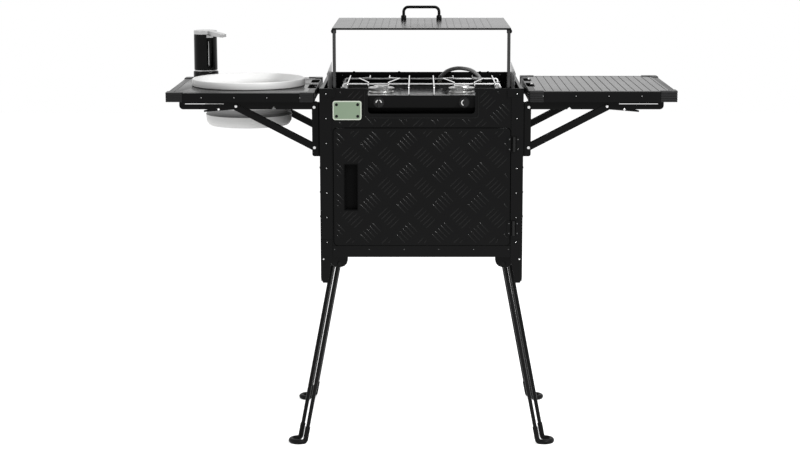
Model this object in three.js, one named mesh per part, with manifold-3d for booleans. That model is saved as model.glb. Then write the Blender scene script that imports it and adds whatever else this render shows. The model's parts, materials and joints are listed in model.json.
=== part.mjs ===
// A folding camp kitchen: a sheet steel cabinet on four fold-in legs, with a twin-burner stove under a
// lid that slides on two posts, and a table that folds down on each side, the left one with a wash bowl.
// Millimetres, +X to the right, +Y to the rear, +Z up. The origin is on the ground under the cabinet.
import * as THREE from "three";
import { mergeVertices } from "three/addons/utils/BufferGeometryUtils.js";
import Module from "manifold-3d";

const wasm = await Module();
wasm.setup();

// Shared clearances and counts
const seat = 0.3;
const running = 0.5;
const overrun = 4;
const arcSteps = 3;
const perMillimetre = 1000;
const flatness = 0.002;
const wireSides = 8;
const grateSides = 6;
const hoseSteps = 26;
const pinSides = 10;
const bowlSides = 36;
const roundSides = 20;
const left = -1;
const right = 1;
const front = -1;
const rear = 1;
const half = 0.5;
const quarterTurn = Math.PI / 2;
const degree = Math.PI / 180;

// Cabinet: panels inside four corner posts, on a floor tray
const cabinet = { width: 490, depth: 422, rim: 878, floor: 467, sheet: 1.5, rearRise: 2, flange: 7.7 };
const halfWide = cabinet.width * half;
const post = { sheet: 2, front: 29, side: 42, footDrop: 64, chamferAcross: 5, chamferUp: 13, toe: 17 };
post.foot = cabinet.floor - post.footDrop;
const tray = { sheet: 1.5, lip: 28 };
const notch = { sideInset: 116.5, depth: 61, radius: 8 };
notch.halfWidth = halfWide - notch.sideInset;
notch.bottom = cabinet.rim - notch.depth;
const plate = { sideInset: 32, width: 69, topDrop: 30, height: 46, radius: 6, sheet: 1.2 };
plate.left = -halfWide + plate.sideInset;
plate.right = plate.left + plate.width;
plate.top = cabinet.rim - plate.topDrop;
plate.bottom = plate.top - plate.height;
const guard = { sheet: 1.5, sink: 36, frontRise: 22, rearRise: 29, length: 208, rearInset: 12 };
guard.bottom = cabinet.rim - guard.sink;
guard.frontTop = cabinet.rim + guard.frontRise;
guard.rearTop = cabinet.rim + guard.rearRise;
guard.rear = cabinet.depth - guard.rearInset;
guard.front = guard.rear - guard.length;

// Door, its pull and its butt hinges
const door = { leftInset: 33, rightInset: 31, bottomRise: 29, topDrop: 96, radius: 9, sheet: 1.5 };
door.left = -halfWide + door.leftInset;
door.right = halfWide - door.rightInset;
door.bottom = cabinet.floor + door.bottomRise;
door.top = cabinet.rim - door.topDrop;
door.returnDepth = 8;
door.gap = 1.5;
const pull = { sideInset: 25, width: 34, bottomRise: 86, height: 113.5, depth: 12, rim: 0.8, lip: 1, wall: 1 };
pull.left = door.left + pull.sideInset;
pull.right = pull.left + pull.width;
pull.bottom = door.bottom + pull.bottomRise;
pull.top = pull.bottom + pull.height;
const hinge = { clear: 8.5, knuckle: 3.75, pin: 1.6, leaf: 1.2, doorLeaf: 16, frameLeaf: 14, height: 36 };
hinge.axisX = door.right + hinge.clear;
hinge.lowerRise = 24.5;
hinge.upperDrop = 56;
hinge.bottoms = [door.bottom + hinge.lowerRise, door.top - hinge.upperDrop];

// Stove on two cross rails
const stove = { sideInset: 46, front: 28, rearInset: 92, topDrop: 19, height: 30, sheet: 1.5, rim: 14, basin: 8 };
stove.halfWidth = halfWide - stove.sideInset;
stove.rear = cabinet.depth - stove.rearInset;
stove.top = cabinet.rim - stove.topDrop;
stove.bottom = stove.top - stove.height;
const rail = { width: 20, sheet: 2, drop: 14, inset: 40 };
const burner = { sideInset: 99, hole: 25, neck: 22, cup: 28, disc: 32.5, cap: 20, clearUnder: 8 };
burner.x = stove.halfWidth - burner.sideInset;
burner.discLift = 9;
burner.discThick = 4;
burner.capRise = 4;
burner.mixer = 6;
const valve = { sideInset: 96, topDrop: 17, body: 6.8, length: 18, stem: 3, setBack: 3, pipe: 4.5 };
valve.x = stove.halfWidth - valve.sideInset;
valve.height = stove.top - valve.topDrop;
const knob = { radius: 10.5, skirt: 12, skirtDepth: 3, length: 14, grip: 3.5, gripDepth: 5, bezel: 13, bezelRise: 1.5 };
knob.wall = 1.5;
const clip = { along: 10, across: 13, height: 8, slotSide: 1.6, sole: 2 };
const grate = { wire: 1.7, rise: 16, frontInset: 116, rearInset: 48, rearReach: 1, bend: 5, lap: 0.8 };
grate.railZ = stove.top + grate.rise;
grate.frontRail = stove.front + grate.frontInset;
grate.rearRail = stove.rear - grate.rearInset;
grate.rearEnd = stove.rear + grate.rearReach;
grate.plainInner = 69.5;
grate.plainOuter = 81.5;
grate.plainX = [burner.x - grate.plainInner, burner.x + grate.plainOuter];
grate.kinkedInner = 19;
grate.kinkedOuter = 31;
grate.kinkedX = [burner.x - grate.kinkedInner, burner.x + grate.kinkedOuter];
grate.kink = 26;
grate.kinkRearInset = 20;
grate.kinkRear = grate.rearRail - grate.kinkRearInset;
grate.kinkFrontInset = 11;
grate.kinkFront = grate.frontRail + grate.kinkFrontInset;
grate.lowInset = 9;
grate.lowEnd = stove.front + grate.lowInset;
grate.shortReach = 23;
grate.shortEnd = grate.frontRail - grate.shortReach;
grate.shortDrop = 6;

// Gas hose from the stove's inlet to the fitting in the rear panel
const gas = { hose: 4.5, inletInset: 49, inletReach: 18, rise: 16, bend: 6, nut: 6.5, nutLength: 6, flange: 11 };
gas.inletX = stove.halfWidth - gas.inletInset;
gas.fittingX = 48;
gas.fittingDrop = 14;
gas.fittingZ = stove.top - gas.fittingDrop;
gas.fittingReach = 17;
gas.fittingOut = 14;
gas.flangeThick = 3;
gas.peak = 48;

// Lid on two sliding posts
const lid = { sideInset: 31, front: 10, rearInset: 12, rise: 143.5, thick: 4.5, sheet: 1.2 };
lid.halfWidth = halfWide - lid.sideInset;
lid.rear = cabinet.depth - lid.rearInset;
lid.top = cabinet.rim + lid.rise;
const slider = { inset: 5, radius: 4, drop: 82, bracketWide: 8.5, bracketDeep: 14, bracketDrop: 11 };
slider.x = lid.halfWidth - slider.inset;
slider.setBack = lid.front + slider.inset;
slider.bottom = cabinet.rim - slider.drop;
const guide = { wall: 2.7, topDrop: 28, height: 50, web: 8 };
guide.top = cabinet.rim - guide.topDrop;
guide.bottom = guide.top - guide.height;
const handle = { halfSpan: 45, rearInset: 114, barRise: 33.5, wire: 3.25, bend: 12, ferrule: 6, ferruleRise: 12 };
handle.setBack = cabinet.depth - handle.rearInset;

// Side tables with their folding brackets
const table = { gap: 12, width: 358, front: 6, drop: 8, rail: 25.5, railWide: 16, wall: 2, panel: 3, ledge: 4 };
table.inner = halfWide + table.gap;
table.outer = table.inner + table.width;
table.top = cabinet.rim - table.drop;
table.leftSag = 4;
const cap = { proud: 1.5, outerLeg: 40, innerLeg: 36, radius: 6 };
const handHole = { reach: 24, spans: [[-84, 12], [61, 137]] };
handHole.outer = table.inner + handHole.reach;
const arm = { inset: 22, clear: 8, outerInset: 31.4, topDrop: 26, high: 18.5, sheet: 1.5, halfWidth: 7.5 };
arm.setBack = table.front + arm.inset;
arm.inner = halfWide + arm.clear;
arm.outer = table.outer - arm.outerInset;
arm.top = table.top - arm.topDrop;
arm.bottom = arm.top - arm.high;
arm.notchInset = 99;
arm.notchX = table.inner + arm.notchInset;
arm.notchHalf = 5;
arm.notchHigh = 7;
arm.slitLength = 95.5;
arm.slitInset = 12.1;
arm.slitEnd = arm.outer - arm.slitInset;
arm.slitStart = arm.slitEnd - arm.slitLength;
arm.slitDrop = 6;
arm.slitZ = arm.top - arm.slitDrop;
arm.slitHigh = 3;
arm.endRadius = 9;
arm.padLength = 22;
const pivot = { clear: 13.5, rise: 5.5, fall: 98, radius: 3, head: 3.5, headRise: 1.5 };
pivot.x = halfWide + pivot.clear;
pivot.armZ = arm.bottom + pivot.rise;
pivot.strutZ = pivot.armZ - pivot.fall;
const strut = { pinInset: 168, halfHigh: 8, halfWidth: 9.5, sheet: 1.5, webEnd: 92 };
strut.pinX = table.outer - strut.pinInset;
const channel = { below: 21, above: 11, sheet: 1.5, halfWidth: 11.5, past: 5.5, radius: 5 };
channel.bottom = pivot.strutZ - channel.below;
channel.top = pivot.armZ + channel.above;
channel.reach = pivot.x + channel.past;
const lever = { inset: 126, nose: 36, tail: 36, high: 8, tailDrop: 3, thick: 4, pin: 2.5 };
lever.x = table.outer - lever.inset;
lever.z = arm.bottom;

// Grooves in the lid and the right table's top
const ribs = { lidInset: 45.85, lidWidth: 4, depth: 0.6, tableWidth: 2.4, tablePitch: 19.55 };
ribs.lidCount = 20;
ribs.lidPitch = (lid.halfWidth - ribs.lidInset) / ((ribs.lidCount - 1) * half);
ribs.innerInset = 41.3;
ribs.tableFirst = table.inner + ribs.innerInset;
ribs.outerInset = 22;
ribs.tableCount = 1 + Math.floor((table.outer - ribs.outerInset - ribs.tableFirst) / ribs.tablePitch);

// Wash bowl and electric tap on the left table
const bowl = { margin: 67.5, offCentre: 3, rimWide: 30, rise: 14, tall: 78.5, sheet: 2.5, rimThick: 5 };
bowl.x = bowl.offCentre - (table.inner + table.outer) * half;
bowl.wall = table.width * half - bowl.margin;
bowl.rim = bowl.wall + bowl.rimWide;
bowl.rimTop = table.top + bowl.rise;
bowl.collar = 24;
bowl.split = table.top - bowl.collar;
bowl.bottom = bowl.split - bowl.tall;
bowl.cone = 6;
bowl.foldWidth = 4;
const tap = { inset: 59, rearInset: 65, foot: 32, body: 30, footHigh: 24, ring: 3, height: 123, capHigh: 10 };
tap.x = tap.inset - table.outer;
tap.setBack = cabinet.depth - tap.rearInset;
tap.spoutReach = 94;
tap.spoutHalf = 9;
tap.spoutThick = 12;
tap.spoutRadius = 4;
const tapTurnDegrees = -55;

// Legs: bent rods with rubber sleeves, in brackets under the floor
const leg = { inset: 35, setBack: 40, pivotDrop: 19, reach: 90, halfSpan: 19.5, rod: 4.5, loop: 29.3 };
leg.x = halfWide - leg.inset;
leg.pivotZ = cabinet.floor - leg.pivotDrop;
leg.topBend = 6;
leg.footBend = 7;
leg.stub = 9.5;
const legTurnDegrees = 21;
const sleeve = { radius: 6, top: 42, sole: 0.6 };
const bracket = { halfLong: 22, cheek: 2, drop: 28, radius: 17, clear: 1.2 };

// Finishes
const finish = {
  powder: new THREE.MeshStandardMaterial({ color: 0x1d1d1e, roughness: 0.55, metalness: 0.3 }),
  satin: new THREE.MeshStandardMaterial({ color: 0x3a3b3d, roughness: 0.4, metalness: 0.5 }),
  chrome: new THREE.MeshStandardMaterial({ color: 0xc9cccf, roughness: 0.18, metalness: 1 }),
  rubber: new THREE.MeshStandardMaterial({ color: 0x17171a, roughness: 0.85, metalness: 0 }),
  nylon: new THREE.MeshStandardMaterial({ color: 0x222226, roughness: 0.7, metalness: 0 }),
  silicone: new THREE.MeshStandardMaterial({ color: 0xe4e6e6, roughness: 0.5, metalness: 0 }),
  gloss: new THREE.MeshStandardMaterial({ color: 0x0a0a0c, roughness: 0.1, metalness: 0 }),
  sage: new THREE.MeshStandardMaterial({ color: 0x8e9f8a, roughness: 0.5, metalness: 0.2 }),
};

// Depth behind the cabinet's front face, as a place along Y
const behindFront = (depth) => depth - cabinet.depth * half;

// Closed solid of a geometry, with its shared corners merged, its collapsed triangles left out, and its
// corners rounded to a fine grid, so that faces which are meant to meet do meet
function solidOf(geometry) {
  geometry.deleteAttribute("normal");
  geometry.deleteAttribute("uv");
  const merged = mergeVertices(geometry);
  const index = merged.index.array;
  const triangles = [];
  for (let i = 0; i < index.length; i += 3) {
    const [a, b, c] = [index[i], index[i + 1], index[i + 2]];
    if (a !== b && b !== c && c !== a) triangles.push(a, b, c);
  }
  const rounded = (value) => Math.round(value * perMillimetre) / perMillimetre;
  const vertProperties = Float32Array.from(merged.attributes.position.array, rounded);
  return new wasm.Manifold(new wasm.Mesh({ numProp: 3, vertProperties, triVerts: Uint32Array.from(triangles) }));
}

// One named piece from its solid, whose flat faces are made whole again first
function piece(name, solid, material) {
  const mesh = solid.asOriginal().simplify(flatness).getMesh();
  const geometry = new THREE.BufferGeometry();
  geometry.setAttribute("position", new THREE.BufferAttribute(Float32Array.from(mesh.vertProperties), mesh.numProp));
  geometry.setIndex(Array.from(mesh.triVerts));
  geometry.computeVertexNormals();
  const object = new THREE.Mesh(geometry, material);
  object.name = name;
  return object;
}

const about = (place, halfSize) => [place - halfSize, place + halfSize];
const joined = (solids) => solids.reduce((sum, next) => sum.add(next));
const middle = ([a, b]) => (a + b) * half;
const length = ([a, b]) => Math.abs(b - a);

// A square-cornered block between two places on each axis
function block(x, y, z) {
  const geometry = new THREE.BoxGeometry(length(x), length(y), length(z));
  geometry.translate(middle(x), middle(y), middle(z));
  return solidOf(geometry);
}

// Closed outline from corners [a, b, radius], with each corner rounded where it has a radius
function outline(corners) {
  const points = [];
  corners.forEach(([a, b, radius = 0], index) => {
    const corner = new THREE.Vector2(a, b);
    if (radius === 0) {
      points.push(corner);
      return;
    }
    const before = corners[(index + corners.length - 1) % corners.length];
    const after = corners[(index + 1) % corners.length];
    const back = new THREE.Vector2(before[0], before[1]).sub(corner).normalize();
    const onward = new THREE.Vector2(after[0], after[1]).sub(corner).normalize();
    const opening = Math.acos(back.dot(onward)) * half;
    const centre = back.clone().add(onward).normalize().multiplyScalar(radius / Math.sin(opening)).add(corner);
    const start = back.clone().multiplyScalar(radius / Math.tan(opening)).add(corner).sub(centre);
    const end = onward.clone().multiplyScalar(radius / Math.tan(opening)).add(corner).sub(centre);
    const sweep = Math.atan2(start.cross(end), start.dot(end));
    for (let step = 0; step <= arcSteps; step += 1) {
      points.push(start.clone().rotateAround(new THREE.Vector2(), sweep * step / arcSteps).add(centre));
    }
  });
  return points;
}

const rectangle = ([a0, a1], [b0, b1], radius = 0) => outline([
  [a0, b0, radius],
  [a1, b0, radius],
  [a1, b1, radius],
  [a0, b1, radius],
]);

function ring(centreA, centreB, radius, sides) {
  const points = [];
  for (let side = 0; side < sides; side += 1) {
    const angle = (side + half) * Math.PI * 2 / sides;
    points.push(new THREE.Vector2(centreA + radius * Math.cos(angle), centreB + radius * Math.sin(angle)));
  }
  return points;
}

const slab = (points, thickness) => new THREE.ExtrudeGeometry(
  new THREE.Shape(points),
  { depth: thickness, bevelEnabled: false },
);

// A slab of an outline drawn in X and Y, along Z
function alongZ(points, z) {
  const geometry = slab(points, length(z));
  geometry.translate(0, 0, Math.min(...z));
  return solidOf(geometry);
}

// A slab of an outline drawn in X and Z, along Y
function alongY(points, y) {
  const geometry = slab(points, length(y));
  geometry.rotateX(quarterTurn);
  geometry.translate(0, Math.max(...y), 0);
  return solidOf(geometry);
}

// A slab of an outline drawn in Y and Z, along X
function alongX(points, x) {
  const geometry = slab(points, length(x));
  geometry.rotateX(quarterTurn);
  geometry.rotateZ(quarterTurn);
  geometry.translate(Math.min(...x), 0, 0);
  return solidOf(geometry);
}

const rodX = (x, y, z, radius, sides = roundSides) => alongX(ring(y, z, radius, sides), x);
const rodY = (x, y, z, radius, sides = roundSides) => alongY(ring(x, z, radius, sides), y);
const rodZ = (x, y, z, radius, sides = roundSides) => alongZ(ring(x, y, radius, sides), z);

// A turned shape about a vertical axis, from a profile of [radius, height] that rises on its outside
function turned(profile, x, y, sides = roundSides) {
  const geometry = new THREE.LatheGeometry(profile.map(([r, z]) => new THREE.Vector2(r, z)), sides);
  geometry.rotateX(quarterTurn);
  geometry.translate(x, y, 0);
  return solidOf(geometry);
}

// The centre line of a bent wire: straight runs between corners, with an arc at each inner corner
class BentWire extends THREE.Curve {
  constructor(corners, radii) {
    super();
    this.places = [];
    this.headings = [];
    corners.forEach((corner, index) => {
      const last = corners.length - 1;
      const arriving = index > 0 ? corner.clone().sub(corners[index - 1]).normalize() : null;
      const leaving = index < last ? corners[index + 1].clone().sub(corner).normalize() : null;
      if (!arriving || !leaving) {
        this.add(corner.clone(), (arriving ?? leaving).clone());
        return;
      }
      const turn = arriving.angleTo(leaving);
      const radius = Array.isArray(radii) ? radii[index - 1] : radii;
      const start = corner.clone().addScaledVector(arriving, -radius * Math.tan(turn * half));
      const inward = leaving.clone().addScaledVector(arriving, -leaving.dot(arriving)).normalize();
      const steps = Math.max(2, Math.round(arcSteps * turn / quarterTurn));
      for (let step = 0; step <= steps; step += 1) {
        const angle = turn * step / steps;
        const place = start.clone().addScaledVector(arriving, radius * Math.sin(angle));
        place.addScaledVector(inward, radius * (1 - Math.cos(angle)));
        const heading = arriving.clone().multiplyScalar(Math.cos(angle)).addScaledVector(inward, Math.sin(angle));
        this.add(place, heading);
      }
    });
  }

  add(place, heading) {
    const before = this.places.at(-1);
    if (before && before.distanceTo(place) < seat * half) return;
    this.places.push(place);
    this.headings.push(heading);
  }

  get steps() {
    return this.places.length - 1;
  }

  between(list, t) {
    const index = Math.min(Math.floor(t * this.steps + Number.EPSILON * this.steps), this.steps - 1);
    return list[index].clone().lerp(list[index + 1], t * this.steps - index);
  }

  getPoint(t) {
    return this.between(this.places, t);
  }

  getTangent(t) {
    return this.between(this.headings, t).normalize();
  }

  getUtoTmapping(u) {
    return u;
  }
}

function tube(path, radius, sides = wireSides, steps = path.steps) {
  const section = new THREE.Shape(ring(0, 0, radius, sides));
  return solidOf(new THREE.ExtrudeGeometry(section, { steps, bevelEnabled: false, extrudePath: path }));
}

const point = (x, y, z) => new THREE.Vector3(x, y, z);

// Places that the cabinet's pieces share
const postFace = cabinet.depth * half;
const postInner = postFace - post.sheet;
const panelFace = postInner - seat;
const panelInner = panelFace - cabinet.sheet;
const wallFace = cabinet.width * half - post.sheet - seat;
const wallInner = wallFace - cabinet.sheet;
const flangeEdge = cabinet.width * half - post.front;
const trayTop = cabinet.floor + tray.sheet;
const panelBottom = trayTop + seat;
const doorFace = -postFace;

// Front and rear panels, side panels and floor
function frontPanel() {
  const sheet = block([-wallInner + seat, wallInner - seat], [-panelFace, -panelInner], [panelBottom, cabinet.rim]);
  const cutSpan = [-panelFace - overrun, -panelInner + overrun];
  const window = alongY(outline([
    [-notch.halfWidth, cabinet.rim + overrun],
    [-notch.halfWidth, notch.bottom, notch.radius],
    [notch.halfWidth, notch.bottom, notch.radius],
    [notch.halfWidth, cabinet.rim + overrun],
  ]), cutSpan);
  const doorway = alongY(rectangle(
    [door.left - door.gap, door.right + door.gap],
    [door.bottom - door.gap, door.top + door.gap],
    door.radius + door.gap,
  ), cutSpan);
  return joined([sheet, lidGuide(left), lidGuide(right)]).subtract(window).subtract(doorway);
}

function rearPanel() {
  const z = [panelBottom, cabinet.rim + cabinet.rearRise];
  const sheet = block([-wallInner + seat, wallInner - seat], [panelInner, panelFace], z);
  const cutSpan = [panelInner - overrun, panelFace + overrun];
  return sheet.subtract(rodY(gas.fittingX, cutSpan, gas.fittingZ, gas.hose + running));
}

function sidePanel(side) {
  const y = [-panelFace, panelFace];
  const wall = block([side * wallInner, side * wallFace], y, [panelBottom, cabinet.rim]);
  const innerY = [-panelInner + seat, panelInner - seat];
  const flange = block(
    [side * (wallFace - cabinet.flange), side * wallFace],
    innerY,
    [cabinet.rim - cabinet.sheet, cabinet.rim],
  );
  return wall.add(flange);
}

function floorTray() {
  const base = block([-wallFace, wallFace], [-panelFace, panelFace], [cabinet.floor, trayTop]);
  const lips = [front, rear].map((end) => {
    const y = [end * (panelFace + seat), end * (panelFace + seat + tray.sheet)];
    const x = [-flangeEdge + seat, flangeEdge - seat];
    const foot = block(x, [end * (panelFace - tray.sheet), y[1]], [cabinet.floor, trayTop]);
    return foot.add(block(x, y, [cabinet.floor, cabinet.floor + tray.lip]));
  });
  const brackets = [left, right].flatMap((side) => [legBracket(side, front), legBracket(side, rear)]);
  return joined([base, ...lips, ...brackets]);
}

// Corner posts: angles that hold the panels and run down past the floor as the legs' guards
function cornerPost(side, end) {
  const top = end === rear ? cabinet.rim + cabinet.rearRise : cabinet.rim;
  const outer = cabinet.width * half;
  const flange = alongY(outline([
    [side * outer, top],
    [side * outer, post.foot + post.chamferUp],
    [side * (outer - post.chamferAcross), post.foot],
    [side * (outer - post.toe), post.foot],
    [side * (outer - post.front), cabinet.floor],
    [side * (outer - post.front), top],
  ]), [end * postInner, end * postFace]);
  const wing = alongX(outline([
    [end * postFace, top],
    [end * (postFace - post.side), top],
    [end * (postFace - post.side), cabinet.floor],
    [end * (postFace - post.toe), post.foot],
    [end * postFace, post.foot + post.chamferUp],
  ]), [side * (outer - post.sheet), side * outer]);
  return flange.add(wing);
}

const namePlate = () => alongY(
  rectangle([plate.left, plate.right], [plate.bottom, plate.top], plate.radius),
  [-panelFace - seat, -panelFace - seat - plate.sheet],
);

// Wind guards that stand up from the side walls, each against its wall's top flange
function sideGuard(side) {
  const face = wallFace - cabinet.flange - seat;
  return alongX(outline([
    [behindFront(guard.front), guard.bottom],
    [behindFront(guard.rear), guard.bottom],
    [behindFront(guard.rear), guard.rearTop],
    [behindFront(guard.front), guard.frontTop],
  ]), [side * (face - guard.sheet), side * face]);
}

// Door: a pan with folded edges, a sunk pull, and hinges on the corner post
function doorPanel() {
  const x = [door.left, door.right];
  const z = [door.bottom, door.top];
  const inset = ([a, b], by) => [a + by, b - by];
  const pan = alongY(rectangle(x, z, door.radius), [doorFace, doorFace + door.returnDepth]);
  const hollow = alongY(
    rectangle(inset(x, door.sheet), inset(z, door.sheet), door.radius - door.sheet),
    [doorFace + door.sheet, doorFace + door.returnDepth + overrun],
  );
  const pocket = block(
    [pull.left + pull.lip, pull.right - pull.lip],
    [doorFace - overrun, doorFace + overrun],
    [pull.bottom + pull.lip, pull.top - pull.lip],
  );
  return pan.subtract(hollow).subtract(pocket);
}

function doorPull() {
  const flangeY = [doorFace - seat, doorFace - seat - pull.rim];
  const flange = alongY(rectangle([pull.left, pull.right], [pull.bottom, pull.top], pull.lip), flangeY);
  const sleeveBy = pull.lip + seat;
  const cup = block(
    [pull.left + sleeveBy, pull.right - sleeveBy],
    [flangeY[0] - pull.rim * half, doorFace + pull.depth],
    [pull.bottom + sleeveBy, pull.top - sleeveBy],
  );
  const hollowBy = sleeveBy + pull.wall;
  const hollow = block(
    [pull.left + hollowBy, pull.right - hollowBy],
    [flangeY[1] - overrun, doorFace + pull.depth - pull.wall],
    [pull.bottom + hollowBy, pull.top - hollowBy],
  );
  return flange.add(cup).subtract(hollow);
}

const hingeY = doorFace - seat - hinge.knuckle;
const leafY = [doorFace - seat, doorFace - seat - hinge.leaf];
const knuckleShare = 1 / 3;

function hingeParts(bottom) {
  const step = hinge.height * knuckleShare;
  const low = [bottom, bottom + step - seat];
  const mid = [bottom + step, bottom + hinge.height - step];
  const high = [bottom + hinge.height - step + seat, bottom + hinge.height];
  const whole = [bottom, bottom + hinge.height];
  const knuckle = (z) => rodZ(hinge.axisX, hingeY, z, hinge.knuckle, pinSides);
  const root = (side, reach, z) => block(
    [hinge.axisX + side * (hinge.knuckle + running), hinge.axisX + side * reach],
    leafY,
    z,
  );
  const web = (side, z) => block([hinge.axisX, hinge.axisX + side * (hinge.knuckle + running * 2)], leafY, z);
  const pin = rodZ(hinge.axisX, hingeY, whole, hinge.pin, pinSides);
  const bore = rodZ(hinge.axisX, hingeY, [bottom - overrun, bottom + hinge.height + overrun], hinge.pin + seat * 2, pinSides);
  const fixed = joined([
    root(right, hinge.frameLeaf, whole),
    web(right, low),
    web(right, high),
    knuckle(low),
    knuckle(high),
    pin,
  ]);
  const moving = joined([root(left, hinge.doorLeaf, whole), web(left, mid), knuckle(mid)]).subtract(bore);
  return { fixed, moving };
}

// Stove: an open-bottomed pressed body with a sunk basin, and clips for the pan grate
const stoveY = [behindFront(stove.front), behindFront(stove.rear)];
const basinFloor = stove.top - stove.basin;
const burnerY = middle(stoveY);
const clipX = stove.halfWidth - clip.along * half - seat;

function stoveBody() {
  const half0 = stove.halfWidth;
  const shrink = ([a, b], by) => [a + by, b - by];
  const outer = block([-half0, half0], stoveY, [stove.bottom, stove.top]);
  const basin = block([-half0 + stove.rim, half0 - stove.rim], shrink(stoveY, stove.rim), [basinFloor, stove.top + overrun]);
  const underRim = stove.rim - stove.sheet;
  const hollow = block(
    [-half0 + stove.sheet, half0 - stove.sheet],
    shrink(stoveY, stove.sheet),
    [stove.bottom - overrun, stove.top - stove.sheet],
  ).subtract(block(
    [-half0 + underRim, half0 - underRim],
    shrink(stoveY, underRim),
    [basinFloor - stove.sheet, stove.top],
  ));
  let body = outer.subtract(basin).subtract(hollow);
  const holeZ = [basinFloor - stove.sheet - overrun, basinFloor + overrun];
  for (const side of [left, right]) {
    body = body.subtract(rodZ(side * burner.x, burnerY, holeZ, burner.hole));
    body = body.add(rodY(side * valve.x, [stoveY[0] + stove.sheet * half, stoveY[0] - knob.bezelRise], valve.height, knob.bezel));
    body = body.subtract(rodY(side * valve.x, [stoveY[0] - overrun, stoveY[0] + overrun], valve.height, valve.stem + running));
    for (const depth of [grate.frontRail, grate.rearRail]) body = body.add(grateClip(side, behindFront(depth)));
  }
  const inletSpan = [stoveY[1] - overrun, stoveY[1] + overrun];
  return body.subtract(rodY(gas.inletX, inletSpan, gas.fittingZ, valve.pipe + running));
}

// A clip on the stove's rim: a small block with a slot that the grate's turned-down end drops into
function grateClip(side, y) {
  const x = [side * clipX - clip.along * half, side * clipX + clip.along * half];
  const z = [stove.top - stove.sheet * half, stove.top + clip.height];
  const body = block(x, [y - clip.across * half, y + clip.across * half], z);
  const slotHalf = grate.wire + clip.slotSide;
  const slot = block([x[0] - overrun, x[1] + overrun], [y - slotHalf, y + slotHalf], [stove.top + clip.sole, z[1] + overrun]);
  return body.subtract(slot);
}

// The frame that carries the stove: angle rails from wall to wall, tied at their ends
function stoveFrame() {
  const top = stove.bottom - seat;
  const x = [-wallInner + seat, wallInner - seat];
  const rows = [stoveY[0] + rail.inset, stoveY[1] - rail.inset - rail.width];
  const rails = rows.map((y) => {
    const shelf = block(x, [y, y + rail.width], [top - rail.sheet, top]);
    return shelf.add(block(x, [y, y + rail.sheet], [top - rail.drop, top]));
  });
  const ties = x.map((end) => block(
    [end, end - Math.sign(end) * rail.sheet],
    [rows[0], rows[1] + rail.width],
    [top - rail.drop, top],
  ));
  return joined([...rails, ...ties]);
}

function burnerHead(side) {
  const underside = basinFloor - stove.sheet;
  const base = basinFloor + seat;
  const discBase = base + burner.discLift;
  const discTop = discBase + burner.discThick;
  const tubeZ = valve.height - half;
  const head = turned([
    [0, underside - burner.clearUnder],
    [burner.neck, underside - burner.clearUnder],
    [burner.neck, base],
    [burner.cup, base],
    [burner.cup, discBase],
    [burner.disc, discBase],
    [burner.disc, discTop - burner.discThick * half],
    [burner.disc - burner.discThick, discTop],
    [burner.cap, discTop],
    [burner.cap * (1 - half * half), discTop + burner.capRise],
    [0, discTop + burner.capRise],
  ], side * burner.x, burnerY);
  const mixerEnd = stoveY[0] + valve.setBack + valve.length + stove.sheet + seat;
  const mixer = rodY(side * valve.x, [mixerEnd, burnerY], tubeZ, burner.mixer, pinSides);
  return head.add(mixer);
}

// Where each knob's face, tip and the blind end of its bore lie
const knobFace = stoveY[0] - knob.bezelRise - seat;
const knobTip = knobFace - knob.length;
const knobBoreEnd = knobTip + knob.gripDepth + knob.wall;

// Gas pipe inside the stove: valves behind the knobs, a cross pipe, and the pipe out to the inlet
const valveY = stoveY[0] + stove.sheet + valve.setBack;
const inletEnd = stoveY[1] + gas.inletReach;
const inletTop = gas.fittingZ + gas.rise;

function gasManifold() {
  const solids = [];
  for (const side of [left, right]) {
    solids.push(rodY(side * valve.x, [valveY, valveY + valve.length], valve.height, valve.body, pinSides));
    solids.push(rodY(side * valve.x, [knobBoreEnd + seat, valveY + overrun], valve.height, valve.stem, pinSides));
  }
  const pipeY = valveY + valve.length * half;
  solids.push(rodX([-valve.x, gas.inletX], pipeY, gas.fittingZ - valve.pipe, valve.pipe, pinSides));
  const start = point(gas.inletX, pipeY, gas.fittingZ - valve.pipe);
  const cranked = point(gas.inletX, stoveY[1] - rail.inset, gas.fittingZ - valve.pipe);
  const level = point(gas.inletX, stoveY[1] - rail.inset * half, gas.fittingZ);
  const elbow = point(gas.inletX, inletEnd, gas.fittingZ);
  const end = point(gas.inletX, inletEnd, inletTop);
  solids.push(tube(new BentWire([start, cranked, level, elbow, end], gas.bend), valve.pipe));
  solids.push(rodZ(gas.inletX, inletEnd, [inletTop - gas.nutLength, inletTop], gas.nut, gas.flangeThick * 2));
  return joined(solids);
}

const fittingEnd = panelInner - gas.fittingReach;
const fittingTop = gas.fittingZ + gas.rise * (1 - half * half);

function gasBulkhead() {
  const rearFace = panelFace + seat;
  const centre = point(gas.fittingX, fittingEnd, gas.fittingZ);
  const path = new BentWire([
    point(gas.fittingX, rearFace + gas.fittingOut, gas.fittingZ),
    centre,
    point(gas.fittingX, fittingEnd, fittingTop),
  ], gas.bend);
  return joined([
    tube(path, gas.hose),
    rodY(gas.fittingX, [rearFace, rearFace + gas.flangeThick], gas.fittingZ, gas.flange, 6),
    rodY(gas.fittingX, [panelInner - seat, panelInner - seat - gas.flangeThick], gas.fittingZ, gas.flange, 6),
    rodZ(gas.fittingX, fittingEnd, [fittingTop - gas.nutLength * half, fittingTop], gas.nut, 6),
  ]);
}

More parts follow.
